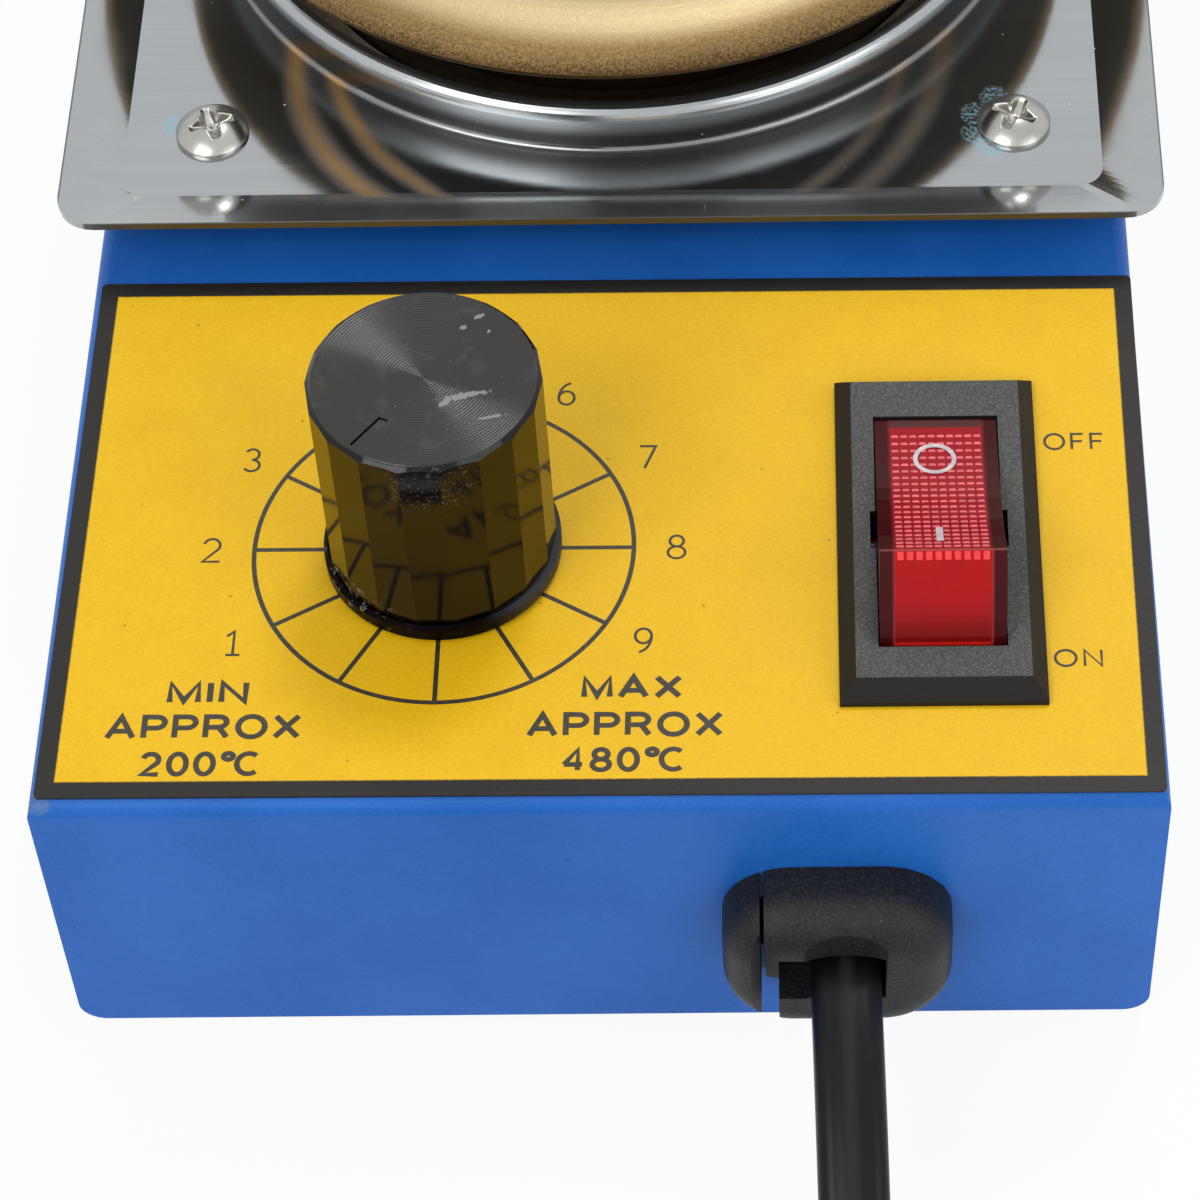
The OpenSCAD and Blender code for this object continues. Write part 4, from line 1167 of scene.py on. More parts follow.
def rounded_loop(corners: np.ndarray, radius: float, count: int) -> np.ndarray:
    """A closed loop through corners given anticlockwise, each replaced by a curve.

    The curve at a corner c is (1-t)^2 a + 2 t (1-t) c + t^2 b, with a and b a radius away along the sides.

    Args:
        corners: The corners, as rows of two numbers.
        radius: How far from a corner its curve starts.
        count: Points on each curve.

    Returns:
        The loop's points.
    """
    to_next = np.roll(corners, -1, axis=0) - corners
    to_last = np.roll(corners, 1, axis=0) - corners
    after = corners + to_next / np.linalg.norm(to_next, axis=1, keepdims=True) * radius
    before = corners + to_last / np.linalg.norm(to_last, axis=1, keepdims=True) * radius
    t = np.linspace(0, 1, count)[None, :, None]
    curve = (1 - t) ** 2 * before[:, None] + 2 * t * (1 - t) * corners[:, None] + t**2 * after[:, None]
    return curve.reshape(-1, 2)


def add_piece(
    name: str,
    shape: Shape,
    finish: Finish,
    body: Body = Body.ROOT,
    crease: float = 38.0,
) -> bpy.types.Object:
    """Makes a skin an object of the part.

    Args:
        name: The piece's name.
        shape: Its skin, in place.
        finish: Its finish.
        body: The body that it rides on.
        crease: Angle in degrees above which an edge stays sharp.

    Returns:
        The object.
    """
    mesh = bpy.data.meshes.new(name)
    mesh.from_pydata(shape.points, [], shape.faces)
    if shape.lay is not None:
        mark = mesh.attributes.new("lay", "FLOAT_VECTOR", "POINT")
        mark.data.foreach_set("vector", shape.lay.astype(np.float32).ravel())
    work = bmesh.new()
    work.from_mesh(mesh)
    bmesh.ops.remove_doubles(work, verts=work.verts, dist=WELD)
    bmesh.ops.recalc_face_normals(work, faces=work.faces)
    work.to_mesh(mesh)
    work.free()
    mesh.shade_smooth()
    mesh.set_sharp_from_angle(angle=math.radians(crease))
    mesh.materials.append(finish.material())
    piece = bpy.data.objects.new(name, mesh)
    bpy.context.scene.collection.objects.link(piece)
    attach(piece, body.value)
    LOG.info("%s: %d faces on %s", name, len(mesh.polygons), body.value)
    return piece


def dress(finish: Finish, *nodes: str) -> None:
    """Gives solids of the model a finish.

    Args:
        finish: The finish.
        *nodes: Names of the solids.
    """
    for node in nodes:
        for holder in frame["nodes"][node].material_slots:
            holder.material = finish.material()
        LOG.info("%s: %s", node, finish.name)


# ----------------------------------------------------------------- stroke letters


Line: TypeAlias = list[tuple[float, float]]

BOW_STEP = 12  # degrees between the points of a bow, at most
LETTER_GAP = 0.36  # between two letters, in cap heights
SHARPEST = 0.45  # least divisor of a mitre, which keeps a sharp corner short
STEP_DOWN = 0.15  # by which each further line of a letter is thinner, so that crossing tops differ


def bow(x: float, y: float, wide: float, tall: float, start: float, end: float) -> Line:
    """Part of an ellipse, through the points (x + w cos a, y + h sin a).

    Args:
        x: Its centre across.
        y: Its centre up.
        wide: Half width w.
        tall: Half height h.
        start: First angle, in degrees.
        end: Last angle, in degrees.

    Returns:
        Its points.
    """
    angle = np.radians(np.linspace(start, end, int(abs(end - start) / BOW_STEP) + 2))
    return list(zip(x + wide * np.cos(angle), y + tall * np.sin(angle)))


# Lines of each character, one cap height tall
GLYPHS: dict[str, list[Line]] = {
    "A": [[(0, 0), (0.43, 1), (0.86, 0)], [(0.14, 0.32), (0.72, 0.32)]],
    "C": [bow(0.42, 0.5, 0.42, 0.5, 50, 310)],
    "F": [[(0.54, 1), (0, 1), (0, 0)], [(0, 0.52), (0.48, 0.52)]],
    "I": [[(0, 0), (0, 1)]],
    "M": [[(0, 0), (0, 1), (0.43, 0.05), (0.86, 1), (0.86, 0)]],
    "N": [[(0, 0), (0, 1), (0.72, 0), (0.72, 1)]],
    "O": [bow(0.45, 0.5, 0.45, 0.5, 0, 360)],
    "P": [[(0, 0), (0, 1), (0.4, 1)], [*bow(0.40, 0.73, 0.28, 0.27, 90, -90), (0, 0.46)]],
    "R": [
        [(0, 0), (0, 1), (0.4, 1)],
        [*bow(0.40, 0.74, 0.28, 0.26, 90, -90), (0, 0.48)],
        [(0.44, 0.48), (0.72, 0)],
    ],
    "X": [[(0, 0), (0.76, 1)], [(0, 1), (0.76, 0)]],
    "0": [bow(0.31, 0.5, 0.31, 0.5, 0, 360)],
    "1": [[(0, 0.8), (0.24, 1), (0.24, 0)], [(0, 0), (0.48, 0)]],
    "2": [[*bow(0.29, 0.71, 0.28, 0.29, 165, -38), (0, 0), (0.6, 0)]],
    "3": [bow(0.27, 0.76, 0.24, 0.24, 150, -90), bow(0.27, 0.26, 0.28, 0.26, 90, -150)],
    "4": [[(0.48, 0), (0.48, 1), (0, 0.27)], [(0, 0.27), (0.64, 0.27)]],
    "5": [[(0.52, 1), (0.10, 1), (0.06, 0.56), *bow(0.28, 0.32, 0.29, 0.32, 120, -145)]],
    "6": [bow(0.29, 0.31, 0.28, 0.31, 0, 360), bow(0.50, 0.31, 0.49, 0.69, 180, 98)],
    "7": [[(0, 1), (0.56, 1), (0.18, 0)]],
    "8": [bow(0.30, 0.76, 0.24, 0.24, 0, 360), bow(0.30, 0.26, 0.30, 0.26, 0, 360)],
    "9": [bow(0.29, 0.69, 0.28, 0.31, 0, 360), bow(0.08, 0.69, 0.49, 0.69, 0, -82)],
    "\N{DEGREE CELSIUS}": [bow(0.17, 0.86, 0.17, 0.15, 0, 360), bow(0.92, 0.5, 0.42, 0.5, 50, 310)],
}


def stroke(line: np.ndarray, weight: float, thick: float) -> Shape:
    """A flat bar along a line, mitred at its corners.

    With m and n the unit normals before and after a point, its edges lie (m + n) w / 2 / (1 + m . n) to
    either side, and the divisor is held above SHARPEST.

    Args:
        line: Points of the line; a closed one repeats its first point.
        weight: Width w of the bar.
        thick: Height of the bar.

    Returns:
        The skin.
    """
    closed = bool(np.allclose(line[0], line[-1]))
    line = line[:-1] if closed else line
    ahead = np.roll(line, -1, axis=0) - line
    normal = np.stack([-ahead[:, 1], ahead[:, 0]], axis=1) / np.linalg.norm(ahead, axis=1, keepdims=True)
    before = np.roll(normal, 1, axis=0)
    if not closed:
        normal[-1] = normal[-2]
        before[0] = normal[0]
    divisor = np.maximum(1 + (before * normal).sum(axis=1, keepdims=True), SHARPEST)
    reach = (before + normal) / divisor * weight / 2
    low, high = np.zeros(len(line)), np.full(len(line), thick)
    left, right = line + reach, line - reach
    rows = np.stack([np.c_[left, low], np.c_[left, high], np.c_[right, high], np.c_[right, low]], axis=1)
    return Shape.grid(np.concatenate([rows, rows[:1]]) if closed else rows, capped=not closed)


def lettering(words: str, height: float, weight: float, thick: float, width: float | None = None) -> Shape:
    """Words drawn in even strokes about the origin.

    Args:
        words: What is written.
        height: Height over all.
        weight: Width of the strokes.
        thick: Height of the strokes.
        width: Width over all, or None for the letters' own shape.

    Returns:
        The skin, from 0 up.
    """
    lines, at = [], 0.0
    for letter in words:
        glyph = [np.asarray(line, float) for line in GLYPHS[letter]]
        lines += [(line + [at, 0], thick * (1 - STEP_DOWN * i)) for i, line in enumerate(glyph)]
        at += max(line[:, 0].max() for line in glyph) + LETTER_GAP
    span = at - LETTER_GAP
    tall = height - weight
    scale = [tall if width is None else (width - weight) / span, tall]
    return Shape.joined([stroke((line - [span / 2, 0.5]) * scale, weight, rise) for line, rise in lines])


# ---------------------------------------------------------------------- studio


@dataclass
class Studio:
    """Camera, floor, soft lights and a white surround. A light is its name, place, size and power."""

    lens: float = 121.07
    sensor: float = 36.0
    shift: tuple[float, float] = (-0.1142, -0.0221)
    near: float = 0.01
    eye: Point = (0.01438, -0.22689, 0.2624)
    across: Point = (0.99982, 0.00142, -0.01906)
    up: Point = (0.01055, 0.79036, 0.61261)
    ahead: Point = (-0.01594, 0.61269, -0.7902)
    lights: tuple[tuple[str, Point, float, float], ...] = (
        ("key", (-0.45, -0.62, 0.74), 0.55, 4.0),
        ("fill", (0.75, -0.65, 0.55), 0.70, 2.8),
        ("top", (0.18, 0.44, 1.10), 0.26, 3.6),
    )
    sky: float = 0.56
    white: Colour = (1.0, 1.0, 1.0)
    paper: Colour = (0.90, 0.90, 0.90)
    paper_glow: float = 0.92
    floor_half: float = 3.0
    floor_drop: float = 0.02 * MM

    def build(self) -> None:
        """Sets the camera first, then what lights the part."""
        self.set_camera()
        self.set_surround()
        self.lay_floor()
        for light in self.lights:
            self.set_light(*light)

    def set_camera(self) -> None:
        """Places the camera by its three axes."""
        data = bpy.data.cameras.new("camera")
        data.sensor_width = self.sensor
        data.lens = self.lens
        data.shift_x, data.shift_y = self.shift
        data.clip_start = self.near
        camera = bpy.data.objects.new("camera", data)
        columns = [self.across, self.up, tuple(-v for v in self.ahead), self.eye]
        camera.matrix_world = Matrix([[c[row] for c in columns] for row in range(3)] + [[0, 0, 0, 1]])
        bpy.context.scene.collection.objects.link(camera)
        bpy.context.scene.camera = camera

    def set_surround(self) -> None:
        """White where the camera, a gloss or a clear body sees it, softer as a light."""
        world = bpy.data.worlds.new("surround")
        bpy.context.scene.world = world
        g = Graph(world)
        strength = self.seen(g) * (1 - self.sky) + self.sky
        back = g.wire("ShaderNodeBackground", inputs={"Color": self.white, "Strength": strength})
        g.output(back, "ShaderNodeOutputWorld")

    @staticmethod
    def seen(g: Graph) -> Wire:
        """Tells what looks at the surround or the floor.

        Args:
            g: The graph that asks.

        Returns:
            1 for a ray of the camera, a gloss or a clear body.
        """
        rays = g.add("ShaderNodeLightPath").outputs
        names = ("Is Camera Ray", "Is Glossy Ray", "Is Transmission Ray")
        return reduce(Wire.highest, [Wire(g, rays[name]) for name in names])

    def lay_floor(self) -> None:
        """A pale sheet that stays near white and keeps a soft shadow."""
        corners = np.array([[-1, -1, 0], [1, -1, 0], [1, 1, 0], [-1, 1, 0]]) * self.floor_half
        mesh = bpy.data.meshes.new("floor")
        mesh.from_pydata(corners - [0, 0, self.floor_drop], [], [[0, 1, 2, 3]])
        floor = bpy.data.objects.new("floor", mesh)
        bpy.context.scene.collection.objects.link(floor)
        paper = bpy.data.materials.new("floor_paper")
        g = Graph(paper)
        matt = g.wire("ShaderNodeBsdfDiffuse", inputs={"Color": self.paper})
        glow = g.wire("ShaderNodeEmission", inputs={"Color": self.white})
        blend = g.wire("ShaderNodeMixShader", inputs={0: self.seen(g) * self.paper_glow, 1: matt, 2: glow})
        g.output(blend)
        mesh.materials.append(paper)

    @staticmethod
    def set_light(name: str, place: Point, size: float, power: float) -> None:
        """Adds a square soft light aimed at the part.

        Args:
            name: Its name.
            place: Where it hangs.
            size: Its side.
            power: Its power in watts.
        """
        data = bpy.data.lights.new(name, "AREA")
        data.size = size
        data.energy = power
        light = bpy.data.objects.new(name, data)
        light.rotation_euler = (-Vector(place)).to_track_quat("-Z", "Y").to_euler()
        light.location = place
        bpy.context.scene.collection.objects.link(light)


# ------------------------------------------------------------------------ cord


@dataclass
class MainsCord:
    """Flat twin cord from the front flap: run, two-layer coil, tail, tie and plug.

    Run and tail are points of the cord's centreline in millimetres. A station of the plug is its share of
    the length from the cord's side, its half width and half height in millimetres, and its squareness.
    """

    width: float = 5.1 * MM
    thick: float = 3.4 * MM
    length: float = 0.96
    sample: float = 1.6 * MM
    crest: float = 0.10 * MM
    groove: float = 0.16 * MM
    exit: Point = (17.3 * MM, -72.4 * MM, 16 * MM)
    run: tuple[Point, ...] = (
        (17.3, -65.5, 16), (17.3, -70, 16), (17.3, -74, 15.5), (17.4, -78, 14.6), (17.5, -82, 13.2),
        (17.6, -86, 11.3), (17.7, -90, 9.1), (17.8, -94, 6.9), (17.8, -98, 4.9), (17.8, -102, 3.3),
        (17.8, -106, 2.3), (17.8, -110, 1.8), (17.8, -114, 1.7), (17.8, -120, 1.7),
    )
    tail: tuple[Point, ...] = (
        (13, -108.6, 5.2), (17.8, -113.6, 5.3), (22, -118.6, 5.1), (25.8, -124, 4.6),
        (28.8, -129.6, 4.1), (31, -135.4, 4.4), (32, -141, 5.5), (32, -145, 5.5),
    )
    coil_centre: Point = (-15.4 * MM, -127.5 * MM, 0.0)
    turn_radii: tuple[float, float, float] = (33.2 * MM, 28.0 * MM, 22.8 * MM)
    tie_at: float = math.radians(-128)
    tie_gap: float = 0.15 * MM
    tie_band: float = 0.55 * MM
    tie_half: float = 1.6 * MM
    tie_head: Point = (4.4 * MM, 4.8 * MM, 3.0 * MM)
    tie_end: Point = (2.4 * MM, 3.2 * MM, 0.6 * MM)
    plug_stations: tuple[tuple[float, float, float, float], ...] = (
        (0, 3.6, 2.9, 2.4), (0.02, 4.2, 3.4, 2.4), (0.30, 5.4, 4.3, 2.8), (0.33, 6.6, 4.6, 3.0),
        (0.40, 8.4, 5.0, 3.4), (0.55, 9.9, 5.45, 4.0), (0.90, 9.7, 5.35, 4.6), (0.985, 9.6, 5.25, 4.6),
        (0.994, 9.35, 5.0, 4.6), (1.0, 8.9, 4.6, 4.6),
    )
    nose: float = 0.31
    ribs: int = 5
    rib_span: tuple[float, float] = (0.03, 0.29)
    rib_deep: tuple[float, float] = (0.75 * MM, 0.60 * MM)
    grips: int = 6
    grip_span: tuple[float, float] = (0.62, 0.88)
    grip_deep: float = 0.28 * MM
    jacket: CordJacket = CordJacket("cord_jacket")
    plug_black: Moulding = Moulding(
        "plug_moulding_black", srgb(24, 25, 29), srgb(46, 47, 52), 0.35 * MM, 0.03 * MM, 0.42
    )
    tie_black: Moulding = Moulding("tie_nylon", srgb(16, 16, 18), srgb(34, 34, 37), 0.5 * MM, 0.01 * MM, 0.36)

    def build(self) -> None:
        path = self.route()
        LOG.info("cord is %.3f m long", np.linalg.norm(np.diff(path, axis=0), axis=1).sum())
        cord = add_piece("mains_cord", tube(path, self.section()), self.jacket)
        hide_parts("cord_run", "cord_coil", "cord_tail")
        tie = add_piece("cord_tie", self.tie(), self.tie_black)
        plug = add_piece("plug_moulding", self.plug(), self.plug_black, crease=50)
        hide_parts("plug_body")
        dress(PlatedMetal("pin_nickel", srgb(196, 190, 174), 0.26), "plug_pins")

    def section(self) -> np.ndarray:
        """Outline of two rounded cores side by side.

        At a share u of the half width the flat faces rise by crest e^-(u / s)^2 over the join and sink by
        groove e^-((|u| - 0.34) / s)^2 beside it.

        Returns:
            Rows of (across, over).
        """
        spread, groove_at, points = 0.16, 0.34, 28
        flat = superellipse([self.width / 2], [self.thick / 2 - self.crest], [2.7], points)[0]
        share = flat[:, 0] / (self.width / 2)
        rise = self.crest * np.exp(-((share / spread) ** 2))
        rise -= self.groove * np.exp(-(((abs(share) - groove_at) / spread) ** 2))
        flat[:, 1] += np.sign(flat[:, 1]) * rise * (np.abs(flat[:, 1]) > 0.3 * self.thick)
        return flat

    def route(self) -> np.ndarray:
        """The cord's centreline from the housing to the plug."""
        points = np.concatenate([np.array(self.run) * MM, self.coil(), np.array(self.tail) * MM])
        return smooth_path(points, self.sample)

    def coil(self) -> np.ndarray:
        """Centreline of the coil, wound clockwise in two layers.

        A stop is an angle in degrees from where the cord comes in, a radius and a height. From one stop
        to the next, radius and height go by the curve 3 t^2 - 2 t^3.

        Returns:
            Its points.
        """
        outer, mid, inner = self.turn_radii
        low, high = self.thick / 2, self.thick * 1.5
        stops = [
            (0, outer, low), (270, outer, low), (315, mid, low), (630, mid, low), (675, inner, low),
            (940, inner, low), (990, inner, high), (1250, inner, high), (1300, mid, high),
            (1610, mid, high), (1660, outer, high), (1755, outer, high),
        ]
        rows = []
        for (start, r0, z0), (end, r1, z1) in zip(stops, stops[1:]):
            t = np.linspace(0, 1, max(4, (end - start) // 12), endpoint=False)
            ease = 3 * t**2 - 2 * t**3
            rows.append(np.c_[start + (end - start) * t, r0 + (r1 - r0) * ease, z0 + (z1 - z0) * ease])
        degrees, radius, height = np.concatenate([*rows, [stops[-1]]]).T
        angle = -np.radians(degrees)
        return np.stack([radius * np.cos(angle), radius * np.sin(angle), height], axis=1) + self.coil_centre

    def tie(self) -> Shape:
        """A nylon strap round one place of the coil, with its head and trimmed end.

        The strap is a flat bar carried round a loop in the plane through the coil's axis, and its foot is
        thinned so that it stays above the floor.

        Returns:
            The skin.
        """
        half, foot, lean = self.tie_half, 0.02 * MM, 0.02
        r_in = self.turn_radii[2] - self.width / 2 - self.tie_gap
        r_out = self.turn_radii[0] + self.width / 2 + self.tie_gap
        r_high = self.turn_radii[1] + self.width / 2 + 0.6 * MM
        top_z = 2 * self.thick + self.tie_gap
        corners = [[r_in, foot], [r_out, foot], [r_out, self.thick], [r_high, top_z], [r_in, top_z]]
        loop = rounded_loop(np.array(corners), 1.2 * MM, 7)
        out = np.roll(loop, -1, axis=0) - np.roll(loop, 1, axis=0)
        out = np.stack([out[:, 1], -out[:, 0]], axis=1)
        out /= np.linalg.norm(out, axis=1, keepdims=True)
        out[:, 1] = np.maximum(out[:, 1], -lean)
        outer = loop + out * self.tie_band
        edges = [(loop, -half), (loop, half), (outer, half), (outer, -half)]
        rows = np.stack([np.c_[p[:, 0], np.full(len(p), y), p[:, 1]] for p, y in edges], axis=1)
        strap = Shape.grid(np.concatenate([rows, rows[:1]]), capped=False)
        head_size, end_size = np.array(self.tie_head), np.array(self.tie_end)
        head_low = np.array([(r_in + r_high) / 2, 0, top_z]) - head_size * [0.5, 0.5, 0]
        head = slab(head_low, head_low + head_size, 0.4 * MM)
        end_low = np.array([(r_in + r_high) / 2 + 2 * MM, -end_size[1] / 2, top_z + 1.0 * MM])
        end = slab(end_low, end_low + end_size, 0.1 * MM)
        return Shape.joined([strap, head, end]).turned(self.tie_at).moved(self.coil_centre)

    def plug(self) -> Shape:
        """Two-pin plug with a ribbed bend relief, lofted along its length.

        Rows are rounded outlines whose sizes run straight from station to station; ribs on the nose and
        ridges on the grip take away their depth.

        Returns:
            The skin.
        """
        low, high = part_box("plug_body")
        centre = middle("plug_body")
        first, last = self.grip_span
        stretches = (0, self.nose, 60), (self.nose + 0.005, 0.56, 16), (0.58, 0.985, 40)
        along = np.r_[(*(np.linspace(*stretch) for stretch in stretches), 0.994, 1.0)]
        share, *sizes = np.array(self.plug_stations).T
        wide, tall, power = (np.interp(along, share, size) for size in sizes)
        ribs = self.ridges(along, 0, self.nose / self.ribs, 3, self.rib_span)
        grips = self.ridges(along, first, (last - first) / self.grips, 2, self.grip_span)
        wide = wide * MM - ribs * self.rib_deep[0] - grips * self.grip_deep
        tall = tall * MM - ribs * self.rib_deep[1]
        outline = superellipse(wide, tall, power, 48) + centre[[0, 2]]
        y = np.broadcast_to((high[1] - along * (high[1] - low[1]))[:, None], outline.shape[:2])
        return Shape.grid(np.stack([outline[..., 0], y, outline[..., 1]], axis=-1))

    @staticmethod
    def ridges(
        along: np.ndarray, start: float, wave: float, steep: float, span: tuple[float, float]
    ) -> np.ndarray:
        """Rounded ridges: a sine, steepened and clipped to run from 0 to 1.

        Args:
            along: Places along the plug.
            start: Where the sine starts.
            wave: Length of one wave.
            steep: Factor on the sine.
            span: First and last place that may have a ridge.

        Returns:
            Height at each place.
        """
        height = np.clip(np.sin((along - start) / wave * 2 * math.pi) * steep, 0, 1)
        return height * ((along > span[0]) & (along < span[1]))


# ------------------------------------------------------------- housing and label


@dataclass
class Housing:
    """Painted housing, base and feet, with the moulded strain relief."""

    chip_in: Point = (0.9 * MM, 0.9 * MM, -0.6 * MM)
    relief_black: Moulding = Moulding(
        "relief_grain", srgb(12, 12, 13), srgb(44, 44, 46), 0.22 * MM, 0.05 * MM, 0.44, 0.28
    )
    foot_rubber: Moulding = Moulding(
        "rubber_feet", srgb(20, 20, 21), srgb(42, 42, 43), 0.5 * MM, 0.03 * MM, 0.72
    )

    def build(self) -> None:
        """Dresses the folded metal, its feet, its screws and the strain relief."""
        low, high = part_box("housing")
        corner = point(np.array([low[0], low[1], high[2]]) + self.chip_in)
        dress(PowderCoat("blue_enamel", chip=corner), "housing")
        dress(PowderCoat("base_enamel", pale=srgb(30, 92, 172), deep=srgb(14, 80, 158)), "bottom_plate")
        for end in ("front", "rear"):
            dress(self.foot_rubber, f"foot_{end}_left", f"foot_{end}_right")
        dress(PlatedMetal("zinc_screw", srgb(190, 190, 188), 0.30), "base_screws")
        dress(self.relief_black, "strain_relief_body", "strain_relief_wedge")


@dataclass
class ControlLabel:
    """The yellow film and what is printed on it: dial, scale ends and switch words.

    A word is its letters, its place from the label's middle, its width, its height and the weight of its
    strokes, in millimetres.
    """

    turn: float = math.radians(-0.23)
    film: tuple[float, float] = (79.15 * MM, 48.1 * MM)
    ink_thick: float = 0.03 * MM
    dial_r: float = 13.88 * MM
    line: float = 0.34 * MM
    spoke_from: float = 6.0 * MM
    spoke_step: int = 30
    digit_from: int = 240
    digit_r: float = 17.0 * MM
    digit_h: float = 2.3 * MM
    digit_line: float = 0.2 * MM
    words: tuple[tuple[str, float, float, float, float, float], ...] = (
        ("MIN", -28.07, -15.01, 5.8, 2.1, 0.44),
        ("APPROX", -28.17, -18.03, 13.9, 2.2, 0.42),
        ("200\N{DEGREE CELSIUS}", -28.17, -21.22, 8.4, 2.15, 0.40),
        ("MAX", 2.12, -14.78, 7.2, 2.1, 0.44),
        ("APPROX", 1.69, -18.05, 13.9, 2.2, 0.42),
        ("480\N{DEGREE CELSIUS}", 1.59, -21.07, 8.6, 2.15, 0.40),
        ("OFF", 34.47, 7.53, 4.5, 1.65, 0.20),
        ("ON", 33.91, -12.49, 3.5, 1.6, 0.20),
    )
    ink: PrintInk = PrintInk("printed_ink")

    def build(self) -> None:
        """Dresses the film and prints on it."""
        centre = middle("label")
        axis = middle("control_shaft")
        dress(LabelFilm("printed_film", point(centre), self.turn, *self.film), "label")
        for name, shapes, about in (
            ("dial_print", self.dial(), axis),
            ("dial_numbers", self.numbers(), axis),
            ("label_words", self.written(), centre),
        ):
            level = top("label") - self.ink_thick / 2
            shape = Shape.joined(shapes).turned(self.turn).moved((about[0], about[1], level))
            add_piece(name, shape, self.ink)

    def dial(self) -> list[Shape]:
        """A thin ring round the knob and twelve spokes that come out from under it.

        Returns:
            Their skins, about the knob's axis.
        """
        half = self.line / 2
        spoke = slab((self.spoke_from, -half, 0), (self.dial_r - half / 2, half, self.ink_thick * 0.9))
        ring = flat_ring(self.dial_r, self.line, self.ink_thick, 180)
        return [ring, *(spoke.turned(math.radians(angle)) for angle in range(0, 360, self.spoke_step))]

    def numbers(self) -> list[Shape]:
        """Digits 1 to 9 round the dial, clockwise from its lower left.

        Returns:
            Their skins, about the knob's axis.
        """
        shapes = []
        for digit in range(1, 10):
            angle = math.radians(self.digit_from - self.spoke_step * digit)
            shape = lettering(str(digit), self.digit_h, self.digit_line, self.ink_thick)
            shapes.append(shape.moved((self.digit_r * math.cos(angle), self.digit_r * math.sin(angle), 0)))
        return shapes

    def written(self) -> list[Shape]:
        """The words.

        Returns:
            Their skins, about the label's middle.
        """
        return [
            lettering(text, height * MM, weight * MM, self.ink_thick, width * MM).moved((x * MM, y * MM, 0))
            for text, x, y, width, height, weight in self.words
        ]


# --------------------------------------------------------- tray, cup and heater


@dataclass
class DripTray:
    """Bright tray with its collar, spacers and cross-headed screws.

    A trace is the number of its screw and its place from that screw's axis in millimetres.
    """

    sheet: float = 0.6 * MM
    head_r: float = 2.85 * MM
    head_h: float = 1.5 * MM
    side_h: float = 0.3 * MM
    shank_r: float = 1.5 * MM
    recess_l: float = 1.75 * MM
    recess_w: float = 0.52 * MM
    recess_flank: float = 0.22 * MM
    recess_deep: float = 1.25 * MM
    bowl_r: float = 0.95 * MM
    head_turns: tuple[float, ...] = (20.0, 64.0, 28.0, 75.0)
    traces: tuple[tuple[int, float, float], ...] = (
        (0, -3.0, 0.8), (1, -1.4, 2.9), (1, -3.0, 1.1), (1, -3.0, -1.0), (1, -1.9, -2.4),
    )
    steel: PlatedMetal = PlatedMetal("screw_plating", srgb(182, 180, 174), 0.15, 0.3 * MM)

    def build(self) -> None:
        """Dresses the tray and replaces the plain screws."""
        low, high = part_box("drip_tray")
        seat = float(low[2]) + self.sheet
        screws = self.screw_places()
        traces = tuple((screws[i][0] + dx * MM, screws[i][1] + dy * MM, seat) for i, dx, dy in self.traces)
        pot = point([*middle("crucible")[:2], seat])
        dress(BrushedSteel("tray_steel", pot, float(high[0]) - pot[0], traces), "drip_tray")
        dress(PlatedMetal("spacer_zinc", srgb(186, 188, 190), 0.30), "tray_spacers", "tray_nuts")
        foot = float(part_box("tray_screws")[0][2]) - seat
        shapes = [
            self.screw(foot).turned(math.radians(turn)).moved((x, y, seat))
            for (x, y), turn in zip(screws, self.head_turns)
        ]
        piece = add_piece("tray_screw_heads", Shape.joined(shapes), self.steel, crease=60)
        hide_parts("tray_screws")

    def screw_places(self) -> list[tuple[float, float]]:
        """Finds the axes of the four screws.

        Returns:
            Front left, front right, rear left and rear right.
        """
        low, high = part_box("tray_screws")
        xs, ys = ((float(low[i]) + self.head_r, float(high[i]) - self.head_r) for i in (0, 1))
        return [(x, y) for y in ys for x in xs]

    def screw(self, foot: float) -> Shape:
        """A pan head with a cross recess, on its shank.

        Height over the head is h1 - B + (B^2 - r^2)^0.5 with B the ball's radius, and the recess takes
        away its depth times the greater of two crossed wedges 1 - |along| / L, each narrowing outwards,
        and of a round bowl.

        Args:
            foot: Height of the shank's end.

        Returns:
            The skin, with the head's seat at 0.
        """
        rings, segments = 44, 120
        share = np.linspace(1, 0, rings)[:-1, None]
        rise = self.head_h - self.side_h
        ball = (self.head_r**2 + rise**2) / (2 * rise)
        dome = self.head_h - ball + np.sqrt(ball**2 - (share * self.head_r) ** 2)
        under = [[0, foot], [self.shank_r, foot], [self.shank_r, 0], [self.head_r, 0]]
        over = np.c_[share * self.head_r, dome]
        skin = revolved(np.concatenate([under, over, [[0, self.head_h]]]), segments)
        x, y, z = skin.points.T
        bowl = np.clip(1 - np.hypot(x, y) / self.bowl_r, 0, 1) ** 0.5
        deep = np.maximum.reduce([self.wedge(x, y), self.wedge(y, x), bowl]) * self.recess_deep
        skin.points[:, 2] = np.where(z > self.side_h * 0.9, z - deep, z)
        return skin

    def wedge(self, along: np.ndarray, across: np.ndarray) -> np.ndarray:
        """One bar of the cross recess.

        Args:
            along: Distance from the axis along the bar.
            across: Distance from the axis across it.

        Returns:
            Its depth at each point, as a share.
        """
        out = np.abs(along) / self.recess_l
        half = self.recess_w * (1.25 - 0.5 * out)
        return np.clip(1 - out, 0, 1) ** 0.6 * np.clip((half - np.abs(across)) / self.recess_flank, 0, 1)


